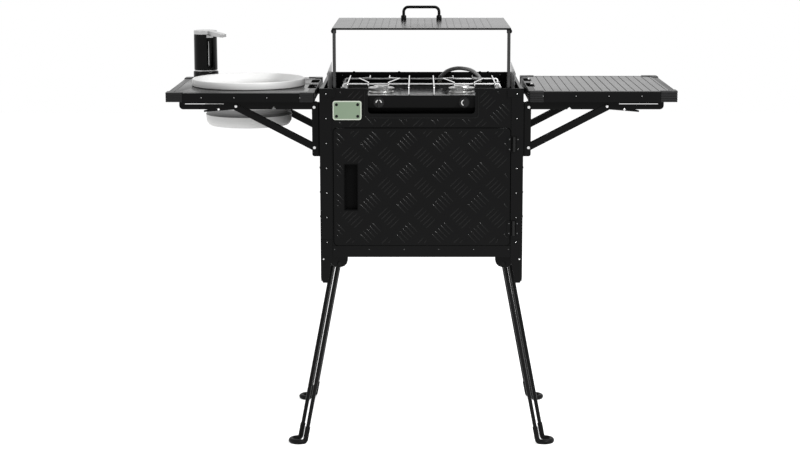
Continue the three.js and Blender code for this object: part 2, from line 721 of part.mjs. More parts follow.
function gasHose() {
  const start = point(gas.inletX, inletEnd, inletTop + seat);
  const end = point(gas.fittingX, fittingEnd, fittingTop + seat);
  const span = end.clone().sub(start);
  const along = (share, lift) => start.clone().addScaledVector(span, share).setZ(inletTop + gas.peak * lift);
  const routeShares = [[0.02, 0.28], [0.18, 0.56], [0.36, 0.66], [0.58, 0.66], [0.8, 0.5], [0.97, 0.18]];
  const route = routeShares.map(([share, lift]) => along(share, lift));
  const path = new THREE.CatmullRomCurve3([
    start,
    start.clone().setZ(start.z + gas.hose),
    ...route,
    end.clone().setZ(end.z + gas.hose),
    end,
  ]);
  return tube(path, gas.hose, wireSides, hoseSteps);
}

function gasKnob(side) {
  const x = side * valve.x;
  const shoulder = knobTip + knob.gripDepth;
  const skirt = rodY(x, [knobFace, knobFace - knob.skirtDepth], valve.height, knob.skirt);
  const barrel = rodY(x, [knobFace, shoulder], valve.height, knob.radius);
  const grip = block(
    about(x, knob.grip * half),
    [shoulder + knob.wall * half, knobTip],
    about(valve.height, knob.radius - seat),
  );
  const bore = rodY(x, [knobFace + overrun, knobBoreEnd], valve.height, valve.stem + running, pinSides);
  return joined([skirt, barrel, grip]).subtract(bore);
}

// Pan grate: two rails with turned-down ends in the clips, and eight wires welded across them
function panGrate() {
  const crossZ = grate.railZ + grate.wire * 2 - grate.lap;
  const solids = [];
  for (const depth of [grate.frontRail, grate.rearRail]) {
    const y = behindFront(depth);
    const low = stove.top + clip.sole + seat;
    solids.push(tube(new BentWire([
      point(-clipX, y, low),
      point(-clipX, y, grate.railZ),
      point(clipX, y, grate.railZ),
      point(clipX, y, low),
    ], grate.bend), grate.wire, grateSides));
  }
  const rearEnd = behindFront(grate.rearEnd);
  const shortEnd = behindFront(grate.shortEnd);
  const lowEnd = behindFront(grate.lowEnd);
  const wireOf = (corners) => tube(new BentWire(corners, grate.bend * half), grate.wire, grateSides);
  for (const side of [left, right]) {
    const [innerX, outerX] = grate.plainX.map((x) => side * x);
    solids.push(wireOf([
      point(innerX, rearEnd, crossZ),
      point(innerX, lowEnd, crossZ),
      point(innerX, lowEnd, stove.top + grate.wire * half + seat),
    ]));
    solids.push(wireOf([
      point(outerX, rearEnd, crossZ),
      point(outerX, shortEnd, crossZ),
      point(outerX, shortEnd, crossZ - grate.shortDrop),
    ]));
    for (const kinkedX of grate.kinkedX) {
      const outward = Math.sign(kinkedX - burner.x);
      const x = side * kinkedX;
      solids.push(wireOf([
        point(x, rearEnd, crossZ),
        point(x, behindFront(grate.rearRail) - overrun, crossZ),
        point(x + side * outward * grate.kink, behindFront(grate.kinkRear), crossZ),
        point(x, behindFront(grate.kinkFront), crossZ),
        point(x, shortEnd, crossZ),
        point(x, shortEnd, crossZ - grate.shortDrop),
      ]));
    }
  }
  return joined(solids);
}

// Lid: a shallow ribbed pan on two posts, with a bent wire handle
const lidY = [behindFront(lid.front), behindFront(lid.rear)];
const lidUnder = lid.top - lid.sheet;
const sliderY = behindFront(slider.setBack);

function lidPanel() {
  const pan = block([-lid.halfWidth, lid.halfWidth], lidY, [lid.top - lid.thick, lid.top]);
  const under = block(
    [-lid.halfWidth + lid.sheet, lid.halfWidth - lid.sheet],
    [lidY[0] + lid.sheet, lidY[1] - lid.sheet],
    [lid.top - lid.thick - overrun, lidUnder],
  );
  const grooves = [];
  for (let row = 0; row < ribs.lidCount; row += 1) {
    const x = (row - (ribs.lidCount - 1) * half) * ribs.lidPitch;
    const reach = [x - ribs.lidWidth * half, x + ribs.lidWidth * half];
    grooves.push(block(reach, [lidY[0] - overrun, lidY[1] + overrun], [lid.top - ribs.depth, lid.top + overrun]));
  }
  return pan.subtract(under).subtract(joined(grooves));
}

function lidHandle() {
  const y = behindFront(handle.setBack);
  const foot = lid.top + seat;
  const bar = lid.top + handle.barRise;
  const wire = tube(new BentWire([
    point(-handle.halfSpan, y, foot),
    point(-handle.halfSpan, y, bar),
    point(handle.halfSpan, y, bar),
    point(handle.halfSpan, y, foot),
  ], handle.bend), handle.wire);
  const ferrules = [left, right].map((side) => rodZ(
    side * handle.halfSpan,
    y,
    [foot, foot + handle.ferruleRise],
    handle.ferrule,
    pinSides,
  ));
  return joined([wire, ...ferrules]);
}

function lidPost(side) {
  const edge = side * (lid.halfWidth - lid.sheet - seat);
  const bracketY = about(sliderY, slider.bracketDeep * half);
  bracketY[0] = Math.max(bracketY[0], lidY[0] + lid.sheet + seat);
  const bracketTop = lidUnder - seat;
  const bracketX = [edge, edge - side * slider.bracketWide];
  const bracket = block(bracketX, bracketY, [bracketTop - slider.bracketDrop, bracketTop]);
  const shaftTop = lid.top - lid.thick - seat;
  const shaft = rodZ(side * slider.x, sliderY, [slider.bottom, shaftTop], slider.radius, pinSides);
  return bracket.add(shaft);
}

// The guide that a lid post slides in, welded to the front panel's inner face
function lidGuide(side) {
  const x = side * slider.x;
  const outer = slider.radius + running + guide.wall;
  const z = [guide.bottom, guide.top];
  const barrel = rodZ(x, sliderY, z, outer, pinSides);
  const web = block(about(x, guide.web * half), [-panelInner - cabinet.sheet * half, sliderY], z);
  const bore = rodZ(x, sliderY, [guide.bottom - overrun, guide.top + overrun], slider.radius + running, pinSides);
  return barrel.add(web).subtract(bore);
}

// Side tables: a folded frame, a ribbed top let into it, and corner caps
const tableY = [behindFront(table.front), -behindFront(table.front)];
const tableBottom = table.top - table.rail;
const topOf = (side) => (side === left ? table.top - table.leftSag : table.top);
const panelY = [tableY[0] + table.railWide, tableY[1] - table.railWide];
const bodyX = [table.inner + cap.proud, table.outer - cap.proud];
const panelX = [bodyX[0] + table.railWide, bodyX[1] - table.railWide];
const atSide = (side, [a, b]) => [side * a, side * b];

// Two hand holes through the inner rail and the top beside it
function handHoles(side) {
  const x = atSide(side, [bodyX[0] + table.wall, handHole.outer]);
  return joined(handHole.spans.map((y) => block(x, y, [tableBottom - overrun, table.top + overrun])));
}

function tableFrame(side) {
  const top = topOf(side);
  const outer = block(atSide(side, bodyX), tableY, [tableBottom, top]);
  const opening = block(
    atSide(side, [panelX[0] + table.ledge, panelX[1] - table.ledge]),
    [panelY[0] + table.ledge, panelY[1] - table.ledge],
    [tableBottom - overrun, table.top + overrun],
  );
  const rebate = block(atSide(side, panelX), panelY, [top - table.panel - seat, top + overrun]);
  const hollows = [
    [[bodyX[0] + table.wall, panelX[0] - table.wall], [tableY[0] + table.wall, tableY[1] - table.wall]],
    [[panelX[1] + table.wall, bodyX[1] - table.wall], [tableY[0] + table.wall, tableY[1] - table.wall]],
    [[bodyX[0] + table.wall, bodyX[1] - table.wall], [tableY[0] + table.wall, panelY[0] - table.wall]],
    [[bodyX[0] + table.wall, bodyX[1] - table.wall], [panelY[1] + table.wall, tableY[1] - table.wall]],
  ].map(([x, y]) => block(atSide(side, x), y, [tableBottom - overrun, top - table.wall]));
  const folded = outer.subtract(opening).subtract(rebate).subtract(joined(hollows)).subtract(handHoles(side));
  return joined([folded, ...cornerCaps(side)]);
}

// The right top is grooved from front to rear
function tableTop(side) {
  const x = [panelX[0] + seat, panelX[1] - seat];
  const y = [panelY[0] + seat, panelY[1] - seat];
  const z = [topOf(side) - table.panel, topOf(side)];
  const top = block(atSide(side, x), y, z).subtract(handHoles(side));
  if (side === left) {
    const hole = rodZ(bowl.x, 0, [z[0] - overrun, z[1] + overrun], bowl.wall + running * 2, bowlSides);
    return top.subtract(hole);
  }
  const grooves = [];
  for (let row = 0; row < ribs.tableCount; row += 1) {
    const span = about(ribs.tableFirst + row * ribs.tablePitch, ribs.tableWidth * half);
    grooves.push(block(span, [y[0] - overrun, y[1] + overrun], [z[1] - ribs.depth, z[1] + overrun]));
  }
  return top.subtract(joined(grooves));
}

function cornerCaps(side) {
  const caps = [];
  const z = [tableBottom, topOf(side) + cap.proud];
  for (const [x, legX] of [[table.inner, cap.innerLeg], [table.outer, -cap.outerLeg]]) {
    for (const end of [front, rear]) {
      const y = end * (tableY[1] + cap.proud);
      const legY = -end * Math.abs(legX);
      const wrap = alongZ(outline([
        [side * x, y, cap.radius],
        [side * (x + legX), y],
        [side * (x + legX), y + legY],
        [side * x, y + legY],
      ]), z);
      const farX = x + legX * 2;
      const inX = x + Math.sign(legX) * (cap.proud + table.railWide);
      const inY = y - end * (cap.proud + table.railWide);
      const inside = block([side * inX, side * farX], [inY, y + legY * 2], [z[0] - overrun, z[1] + overrun]);
      caps.push(wrap.subtract(inside));
    }
  }
  return caps;
}

// Folding brackets: a channel on the cabinet, an arm under the table, a strut and a release lever
const armY = (end) => -end * behindFront(arm.setBack);
const strutReach = point(strut.pinX - pivot.x, 0, pivot.armZ - pivot.strutZ).length();
const strutAngle = Math.atan2(pivot.armZ - pivot.strutZ, strut.pinX - pivot.x);

function supportArm(side, end) {
  const y = armY(end);
  const profile = outline([
    [side * arm.inner, arm.bottom],
    [side * (arm.notchX - arm.notchHalf), arm.bottom],
    [side * arm.notchX, arm.bottom + arm.notchHigh],
    [side * (arm.notchX + arm.notchHalf), arm.bottom],
    [side * arm.outer, arm.bottom, arm.endRadius],
    [side * arm.outer, arm.top],
    [side * arm.inner, arm.top],
  ]);
  const outer = alongY(profile, about(y, arm.halfWidth));
  const hollow = block(
    [side * (arm.inner - overrun), side * (arm.outer - arm.sheet)],
    about(y, arm.halfWidth - arm.sheet),
    [arm.bottom - overrun, arm.top - arm.sheet],
  );
  const wide = about(y, arm.halfWidth + overrun);
  const slit = block(
    [side * arm.slitStart, side * arm.slitEnd],
    wide,
    [arm.slitZ - arm.slitHigh * half, arm.slitZ + arm.slitHigh * half],
  );
  const pinHole = rodY(side * pivot.x, wide, pivot.armZ, pivot.radius + running, pinSides);
  const leverHole = rodY(side * lever.x, wide, lever.z, lever.pin + running, pinSides);
  const firstPad = table.inner + cap.innerLeg + seat;
  const lastPad = table.outer - cap.outerLeg - seat - arm.padLength;
  const pads = [firstPad, (firstPad + lastPad) * half, lastPad].map((x) => block(
    [side * x, side * (x + arm.padLength)],
    about(y, arm.halfWidth - arm.sheet),
    [arm.top - arm.sheet, tableBottom - seat],
  ));
  return joined([outer.subtract(hollow), ...pads]).subtract(slit).subtract(pinHole).subtract(leverHole);
}

function strutBar(side, end) {
  const y = armY(end);
  const direction = point(Math.cos(strutAngle), 0, Math.sin(strutAngle));
  const across = point(-direction.z, 0, direction.x);
  const corner = (run, rise) => [
    side * (pivot.x + direction.x * run + across.x * rise),
    pivot.strutZ + direction.z * run + across.z * rise,
  ];
  const high = strut.halfHigh;
  const profile = outline([
    [...corner(-high, -high), high],
    [...corner(strutReach + high, -high), high],
    [...corner(strutReach + high, high), high],
    [...corner(-high, high), high],
  ]);
  const outer = alongY(profile, about(y, strut.halfWidth));
  const gap = about(y, strut.halfWidth - strut.sheet);
  const past = strutReach + high + overrun;
  const above = alongY(outline([
    corner(-high - overrun, -high + strut.sheet),
    corner(strut.webEnd, -high + strut.sheet),
    corner(strut.webEnd, -high - overrun),
    corner(past, -high - overrun),
    corner(past, high + overrun),
    corner(-high - overrun, high + overrun),
  ]), gap);
  const clearEnd = alongY(outline([
    corner(-high - overrun, -high - overrun),
    corner(high, -high - overrun),
    corner(high, high + overrun),
    corner(-high - overrun, high + overrun),
  ]), gap);
  const hole = rodY(side * pivot.x, about(y, strut.halfWidth + overrun), pivot.strutZ, pivot.radius + running, pinSides);
  return outer.subtract(above).subtract(clearEnd).subtract(hole);
}

function wallChannel(side, end) {
  const y = armY(end);
  const backX = cabinet.width * half + seat;
  const outer = alongY(outline([
    [side * backX, channel.top],
    [side * backX, channel.bottom],
    [side * channel.reach, channel.bottom, channel.radius],
    [side * channel.reach, channel.top],
  ]), about(y, channel.halfWidth));
  const hollow = block(
    [side * (backX + channel.sheet), side * (channel.reach + overrun)],
    about(y, channel.halfWidth - channel.sheet),
    [channel.bottom - overrun, channel.top + overrun],
  );
  const armPin = rodY(side * pivot.x, about(y, channel.halfWidth), pivot.armZ, pivot.radius, pinSides);
  const clearOfArm = arm.halfWidth + seat;
  const strutPins = [front, rear].map((face) => rodY(
    side * pivot.x,
    [y + face * clearOfArm, y + face * channel.halfWidth],
    pivot.strutZ,
    pivot.radius,
    pinSides,
  ));
  const heads = [pivot.armZ, pivot.strutZ].flatMap((z) => [front, rear].map((face) => rodY(
    side * pivot.x,
    [y + face * channel.halfWidth, y + face * (channel.halfWidth + pivot.headRise)],
    z,
    pivot.head,
    pinSides,
  )));
  return joined([outer.subtract(hollow), armPin, ...strutPins, ...heads]);
}

function releaseLever(side, end) {
  const y = armY(end);
  const high = lever.high * half;
  const blade = alongY(outline([
    [side * (lever.x - lever.nose), lever.z - high + lever.tailDrop],
    [side * lever.x, lever.z - high],
    [side * (lever.x + lever.tail), lever.z - high - lever.tailDrop],
    [side * (lever.x + lever.tail), lever.z - lever.tailDrop],
    [side * (lever.x + high), lever.z + high],
    [side * (lever.x - lever.nose), lever.z + high],
  ]), about(y, lever.thick * half));
  return blade.add(rodY(side * lever.x, about(y, arm.halfWidth), lever.z, lever.pin, pinSides));
}

// Wash bowl: a stiff rim and collar on the table, and a soft folding body below
function sinkRim() {
  const under = topOf(left) + seat;
  const inner = bowl.wall - bowl.sheet;
  return turned([
    [inner, bowl.split],
    [bowl.wall, bowl.split],
    [bowl.wall, under],
    [bowl.rim - bowl.rimThick, under],
    [bowl.rim, bowl.rimTop - bowl.rimThick],
    [bowl.rim, bowl.rimTop - bowl.sheet],
    [bowl.rim - bowl.sheet, bowl.rimTop],
    [bowl.rim - bowl.rimThick * 2, bowl.rimTop],
    [inner + bowl.rimThick, under + bowl.sheet],
    [inner, under],
    [inner, bowl.split],
  ], bowl.x, 0, bowlSides);
}

function sinkBowl() {
  const top = bowl.split - seat;
  const tall = top - bowl.bottom;
  const wall = (share, inset) => [bowl.wall - bowl.cone * share - inset, top - tall * share];
  const foldShares = [[0, 0], [0.28, 0], [0.36, 1], [0.5, 1], [0.58, 0], [0.88, 0]];
  const outside = foldShares.map(([share, fold]) => wall(share, fold * bowl.foldWidth));
  const footRadius = bowl.wall - bowl.cone - bowl.foldWidth * 2;
  const inside = outside.map(([r, z]) => [r - bowl.sheet, z]).reverse();
  return turned([
    [0, bowl.bottom],
    [footRadius, bowl.bottom],
    ...outside.slice().reverse(),
    ...inside.slice().reverse(),
    [footRadius - bowl.sheet, bowl.bottom + bowl.sheet],
    [0, bowl.bottom + bowl.sheet],
  ], bowl.x, 0, bowlSides);
}

// Electric tap: foot, glossy body, and a swivelling top with its spout
const tapY = behindFront(tap.setBack);
const tapFoot = topOf(left) + seat;

function tapBody() {
  const footTop = tapFoot + tap.footHigh;
  const top = table.top + tap.height - tap.capHigh;
  return turned([
    [0, tapFoot],
    [tap.foot, tapFoot],
    [tap.foot, footTop - tap.ring],
    [tap.body - tap.ring * half, footTop],
    [tap.body - tap.ring * half, footTop + tap.ring],
    [tap.body, footTop + tap.ring],
    [tap.body, top],
    [0, top],
  ], tap.x, tapY, roundSides);
}

function tapSpout() {
  const bottom = table.top + tap.height - tap.capHigh + seat;
  const top = table.top + tap.height;
  const heading = new THREE.Vector2(1, 0).rotateAround(new THREE.Vector2(), tapTurnDegrees * degree);
  const plan = (along, across, radius = 0) => [
    tap.x + heading.x * along - heading.y * across,
    tapY + heading.y * along + heading.x * across,
    radius,
  ];
  const bar = (start, tipRadius) => outline([
    plan(start, -tap.spoutHalf),
    plan(tap.spoutReach, -tap.spoutHalf, tipRadius),
    plan(tap.spoutReach, tap.spoutHalf, tipRadius),
    plan(start, tap.spoutHalf),
  ]);
  const disc = rodZ(tap.x, tapY, [bottom, top], tap.body - seat);
  const upper = alongZ(bar(0, tap.spoutRadius), [bottom, top]);
  const under = alongZ(bar(tap.body + running * 2, tap.spoutRadius), [top - tap.spoutThick, top]);
  return joined([disc, upper, under]);
}

// Legs: each fans out from its bracket along its own line, down and out to a flat foot loop
function legFrame(side, end) {
  const turn = legTurnDegrees * degree;
  const out = point(side * Math.cos(turn), end * Math.sin(turn), 0);
  const along = point(-out.y, out.x, 0);
  const root = point(side * leg.x, end * (postFace - leg.setBack), 0);
  return (run, rise, z) => root.clone().addScaledVector(out, run).addScaledVector(along, rise).setZ(z);
}

const footZ = sleeve.radius - sleeve.sole;
const sleeveRun = leg.reach * (leg.pivotZ - sleeve.top) / (leg.pivotZ - footZ);

// A leg's rod, with the rubber sleeve round its foot, cut flat where it stands
function legRod(side, end) {
  const at = legFrame(side, end);
  const span = leg.halfSpan;
  const path = new BentWire([
    at(0, span + leg.stub, leg.pivotZ),
    at(0, span, leg.pivotZ),
    at(leg.reach, span, footZ),
    at(leg.reach + leg.loop, span, footZ),
    at(leg.reach + leg.loop, -span, footZ),
    at(leg.reach, -span, footZ),
    at(0, -span, leg.pivotZ),
    at(0, -span - leg.stub, leg.pivotZ),
  ], [leg.topBend, leg.footBend, span, span, leg.footBend, leg.topBend]);
  const sleevePath = new BentWire([
    at(sleeveRun, span, sleeve.top),
    at(leg.reach, span, footZ),
    at(leg.reach + leg.loop, span, footZ),
    at(leg.reach + leg.loop, -span, footZ),
    at(leg.reach, -span, footZ),
    at(sleeveRun, -span, sleeve.top),
  ], [leg.footBend, span, span, leg.footBend]);
  const centre = at(leg.reach, 0, 0);
  const wide = leg.loop * 4 + span * 4;
  const ground = block(about(centre.x, wide), about(centre.y, wide), [-sleeve.radius * 2, 0]);
  return tube(path, leg.rod).add(tube(sleevePath, sleeve.radius)).subtract(ground);
}

// A leg's bracket, welded under the floor: a bridge with two cheeks that hold the rod's turned-out ends
function legBracket(side, end) {
  const inner = leg.halfSpan + leg.rod + bracket.clear;
  const outer = inner + bracket.cheek;
  const low = cabinet.floor - bracket.drop;
  const top = cabinet.floor + tray.sheet * half;
  const cheeks = alongY(outline([
    [-bracket.halfLong, top],
    [-bracket.halfLong, low, bracket.radius],
    [bracket.halfLong, low, bracket.radius],
    [bracket.halfLong, top],
  ]), [-outer, outer]);
  const hollow = block(
    about(0, bracket.halfLong + overrun),
    [-inner, inner],
    [low - overrun, cabinet.floor - bracket.cheek],
  );
  const holes = rodY(0, about(0, outer + overrun), leg.pivotZ, leg.rod + running, pinSides);
  const centre = legFrame(side, end)(0, 0, 0);
  const placed = cheeks.subtract(hollow).subtract(holes).rotate([0, 0, side * end * legTurnDegrees]);
  return placed.translate([centre.x, centre.y, 0]);
}

// The whole kitchen
const kitchen = new THREE.Group();
const [lowerHinge, upperHinge] = hinge.bottoms.map(hingeParts);

kitchen.add(
  piece("front_panel", frontPanel(), finish.powder),
  piece("rear_panel", rearPanel(), finish.powder),
  piece("floor_tray", floorTray(), finish.powder),
  piece("name_plate", namePlate(), finish.sage),
  piece("door_panel", doorPanel(), finish.powder),
  piece("door_pull", doorPull(), finish.nylon),
  piece("lower_hinge_leaf", lowerHinge.moving, finish.powder),
  piece("upper_hinge_leaf", upperHinge.moving, finish.powder),
  piece("lower_hinge_frame", lowerHinge.fixed, finish.powder),
  piece("upper_hinge_frame", upperHinge.fixed, finish.powder),
  piece("stove_frame", stoveFrame(), finish.powder),
  piece("stove_body", stoveBody(), finish.satin),
  piece("gas_manifold", gasManifold(), finish.chrome),
  piece("gas_bulkhead", gasBulkhead(), finish.chrome),
  piece("gas_hose", gasHose(), finish.rubber),
  piece("pan_grate", panGrate(), finish.chrome),
  piece("lid_panel", lidPanel(), finish.powder),
  piece("lid_handle", lidHandle(), finish.powder),
  piece("sink_rim", sinkRim(), finish.silicone),
  piece("sink_bowl", sinkBowl(), finish.silicone),
  piece("tap_body", tapBody(), finish.gloss),
  piece("tap_spout", tapSpout(), finish.chrome),
);
for (const [side, sideName] of [[left, "left"], [right, "right"]]) {
  kitchen.add(
    piece(`${sideName}_side_panel`, sidePanel(side), finish.powder),
    piece(`${sideName}_wind_guard`, sideGuard(side), finish.satin),
    piece(`${sideName}_burner`, burnerHead(side), finish.chrome),
    piece(`${sideName}_gas_knob`, gasKnob(side), finish.nylon),
    piece(`${sideName}_lid_post`, lidPost(side), finish.powder),
    piece(`${sideName}_table_frame`, tableFrame(side), finish.powder),
    piece(`${sideName}_table_top`, tableTop(side), finish.powder),
  );
  for (const [end, endName] of [[front, "front"], [rear, "rear"]]) {
    kitchen.add(
      piece(`${sideName}_${endName}_corner_post`, cornerPost(side, end), finish.powder),
      piece(`${sideName}_${endName}_leg`, legRod(side, end), finish.powder),
      piece(`${sideName}_${endName}_support_arm`, supportArm(side, end), finish.powder),
      piece(`${sideName}_${endName}_strut`, strutBar(side, end), finish.powder),
      piece(`${sideName}_${endName}_wall_channel`, wallChannel(side, end), finish.powder),
      piece(`${sideName}_${endName}_release_lever`, releaseLever(side, end), finish.powder),
    );
  }
}

export default kitchen;
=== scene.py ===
"""The looks of a folding camp kitchen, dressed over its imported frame.

Shapes are drawn in millimetres and made in metres, with +X to the right as seen from the door, +Y to the
rear and +Z up. A black sheet-steel cabinet stands on four bent-rod legs, with a stove under a sliding lid
and a folding table on each side. The left table holds a wash bowl and an electric tap.
"""

from __future__ import annotations

import json
import logging
import math
from dataclasses import dataclass, field
from enum import Enum
from functools import partial
from typing import Iterable, Sequence

import bmesh
import bpy
from mathutils import Matrix, Vector

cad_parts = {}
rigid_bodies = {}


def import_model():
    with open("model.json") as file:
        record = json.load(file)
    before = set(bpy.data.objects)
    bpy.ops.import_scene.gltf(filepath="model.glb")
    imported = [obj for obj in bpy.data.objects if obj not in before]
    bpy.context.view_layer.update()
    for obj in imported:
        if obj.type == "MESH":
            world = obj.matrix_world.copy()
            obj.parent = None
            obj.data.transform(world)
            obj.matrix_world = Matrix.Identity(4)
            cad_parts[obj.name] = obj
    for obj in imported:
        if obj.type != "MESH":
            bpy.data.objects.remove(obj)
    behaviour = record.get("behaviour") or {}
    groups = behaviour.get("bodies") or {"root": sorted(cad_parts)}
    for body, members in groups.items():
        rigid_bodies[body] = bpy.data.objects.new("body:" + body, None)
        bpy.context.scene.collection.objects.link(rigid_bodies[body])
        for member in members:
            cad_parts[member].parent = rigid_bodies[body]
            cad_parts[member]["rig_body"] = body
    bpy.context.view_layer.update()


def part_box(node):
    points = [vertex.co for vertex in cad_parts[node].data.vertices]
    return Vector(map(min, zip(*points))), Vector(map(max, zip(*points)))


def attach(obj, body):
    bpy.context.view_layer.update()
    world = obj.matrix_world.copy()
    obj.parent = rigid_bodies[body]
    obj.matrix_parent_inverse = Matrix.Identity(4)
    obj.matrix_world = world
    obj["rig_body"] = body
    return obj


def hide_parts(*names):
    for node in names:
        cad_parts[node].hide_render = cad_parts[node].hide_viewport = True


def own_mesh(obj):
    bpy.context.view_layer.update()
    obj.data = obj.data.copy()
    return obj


LOG = logging.getLogger("camp_kitchen")
MM = 0.001
MERGE = 0.001
FLAT = math.radians(1.0)
CREASE = math.radians(32.0)
# How far a rivet's small bright dome, its painted highlight, sinks into the head.
HIGHLIGHT_CORE_SINK = 0.4
# The painted shade in a groove starts at this share of the way from the groove's edge to its middle.
SHADED_GROOVE_SHARE = 0.45
RUB_CONTRAST = 9.0
BRUSH_STRETCH = 0.03
UP = Vector((0.0, 0.0, 1.0))
UPWARD = (0.0, 0.0, 1.0)
RIGHTWARD = (1.0, 0.0, 0.0)
FORWARD = (0.0, -1.0, 0.0)

Point = tuple[float, float, float]
Flat = tuple[float, float]
Outline = tuple[Flat, ...]
Colour = tuple[float, float, float]
Started = tuple[bpy.types.NodeTree, bpy.types.Node, bpy.types.Node]


class Named(Enum):
    """Choices whose names are part of the pieces' names."""

    @property
    def word(self) -> str:
        """The choice's name, as piece names use it."""
        return self.name.lower()


class Side(Named):
    """The kitchen's two sides, as seen from the door."""

    LEFT = -1
    RIGHT = 1

    @property
    def out(self) -> Point:
        """The direction out of this side."""
        return (float(self.value), 0.0, 0.0)

    def span(self, a: float, b: float) -> Flat:
        """Two distances from the middle as a low and a high place on this side."""
        return span(self.value * a, self.value * b)


class End(Named):
    """The kitchen's two ends."""

    FRONT = -1
    REAR = 1

    @property
    def out(self) -> Point:
        """The direction out of this end."""
        return (0.0, float(self.value), 0.0)


class Axis(Enum):
    """The axis that a turned or extruded shape runs along."""

    X = 0
    Y = 1
    Z = 2

    def place(self, across: float, up: float, along: float) -> Vector:
        """A point of a drawing that lies across the axis.

        Args:
            across: its first place in the drawing's plane.
            up: its second place.
            along: its place along the axis.

        Returns:
            The point.
        """
        if self is Axis.X:
            return Vector((along, across, up))
        if self is Axis.Y:
            return Vector((across, along, up))
        return Vector((across, up, along))


def span(a: float, b: float) -> Flat:
    """Two places as a low and a high one."""
    return (min(a, b), max(a, b))


def grey(value: float) -> Colour:
    """A neutral colour."""
    return (value, value, value)


def raised(outline: Iterable[Flat], base: float) -> list[Flat]:
    """An outline whose heights are measured from a base."""
    return [(reach, base + rise) for reach, rise in outline]


def vectors(*places: Point) -> list[Vector]:
    """Places as vectors."""
    return [Vector(place) for place in places]


# Node trees


def feed(tree: bpy.types.NodeTree, target: bpy.types.Node, inputs: dict[str | int, object]) -> None:
    """Gives a node's inputs their values, or links them to other nodes' outputs.

    Args:
        tree: the node's tree.
        target: the node.
        inputs: a value, an output, or a node for its first output, by the input's name or place.
    """
    for label, value in inputs.items():
        if isinstance(value, bpy.types.Node):
            value = value.outputs[0]
        if isinstance(value, bpy.types.NodeSocket):
            tree.links.new(value, target.inputs[label])
        else:
            target.inputs[label].default_value = value


def node(tree: bpy.types.NodeTree, kind: str, inputs: dict[str | int, object] | None = None,
         **settings: object) -> bpy.types.Node:
    """Adds a node to a tree.

    Args:
        tree: the tree.
        kind: the node's type.
        inputs: what its inputs are fed.
        settings: the node's own settings.

    Returns:
        The new node.
    """
    made = tree.nodes.new(kind)
    for label, value in settings.items():
        setattr(made, label, value)
    feed(tree, made, inputs or {})
    return made


def maths(tree: bpy.types.NodeTree, operation: str, a: object, b: object = 0.0,
          clamp: bool = False) -> bpy.types.NodeSocket:
    """The output of a Math node on sockets or numbers."""
    return node(tree, "ShaderNodeMath", {0: a, 1: b}, operation=operation, use_clamp=clamp).outputs[0]


def group_with(name: str, inputs: dict[str, float | None], outputs: Sequence[str]) -> Started:
    """Starts a shader node group with named sockets.

    Args:
        name: the group's name.
        inputs: each input's name and value, or None for a vector.
        outputs: each output's name.

    Returns:
        The group, its input node and its output node.
    """
    tree = bpy.data.node_groups.new(name, "ShaderNodeTree")
    for label, value in inputs.items():
        kind = "NodeSocketVector" if value is None else "NodeSocketFloat"
        socket = tree.interface.new_socket(label, in_out="INPUT", socket_type=kind)
        if value is not None:
            socket.default_value = value
    for label in outputs:
        tree.interface.new_socket(label, in_out="OUTPUT", socket_type="NodeSocketFloat")
    return tree, tree.nodes.new("NodeGroupInput"), tree.nodes.new("NodeGroupOutput")


def coat_texture() -> bpy.types.NodeTree:
    """The fine grain of a coated or moulded surface, with slow cloudy change and sparse rubbed spots.

    Returns:
        A group that puts out the height of its grain, a cloudy mask and a mask of rubbed spots.
    """
    tree, enter, leave = group_with(
        "coat_texture",
        {
            "Vector": None, "Grain Scale": 1400.0, "Cloud Scale": 9.0, "Rub Scale": 38.0,
            "Rub Threshold": 0.68,
        },
        ("Height", "Cloud", "Rub"),
    )
    value = enter.outputs
    grain, cloud, rub = (
        node(tree, "ShaderNodeTexNoise", {
            "Vector": value["Vector"], "Scale": value[scale], "Detail": detail, "Roughness": roughness,
        }).outputs["Fac"]
        for scale, detail, roughness in (
            ("Grain Scale", 2.0, 0.5), ("Cloud Scale", 3.0, 0.5), ("Rub Scale", 6.0, 0.68),
        )
    )
    spots = maths(tree, "MULTIPLY", maths(tree, "SUBTRACT", rub, value["Rub Threshold"]), RUB_CONTRAST,
                  clamp=True)
    feed(tree, leave, {"Height": grain, "Cloud": cloud, "Rub": spots})
    return tree


def brush_texture() -> bpy.types.NodeTree:
    """The fine parallel lines of rolled, spun or drawn metal.

    Returns:
        A group that puts out the lines' height and a mask for their tone.
    """
    tree, enter, leave = group_with(
        "brush_texture", {"Vector": None, "Line Scale": 900.0}, ("Height", "Tone"),
    )
    value = enter.outputs
    squeeze = node(tree, "ShaderNodeMapping", {"Vector": value["Vector"], "Scale": (BRUSH_STRETCH, 1.0, 1.0)})
    lines = node(tree, "ShaderNodeTexNoise", {
        "Vector": squeeze, "Scale": value["Line Scale"], "Detail": 3.0,
    }).outputs["Fac"]
    feed(tree, leave, {"Height": lines, "Tone": lines})
    return tree


class Grain(Enum):
    """The two kinds of surface texture that finishes use."""

    COAT = "coat_texture"
    BRUSH = "brush_texture"

    def group(self) -> bpy.types.NodeTree:
        """The texture's node group, made when it is first asked for."""
        build = coat_texture if self is Grain.COAT else brush_texture
        return bpy.data.node_groups.get(self.value) or build()


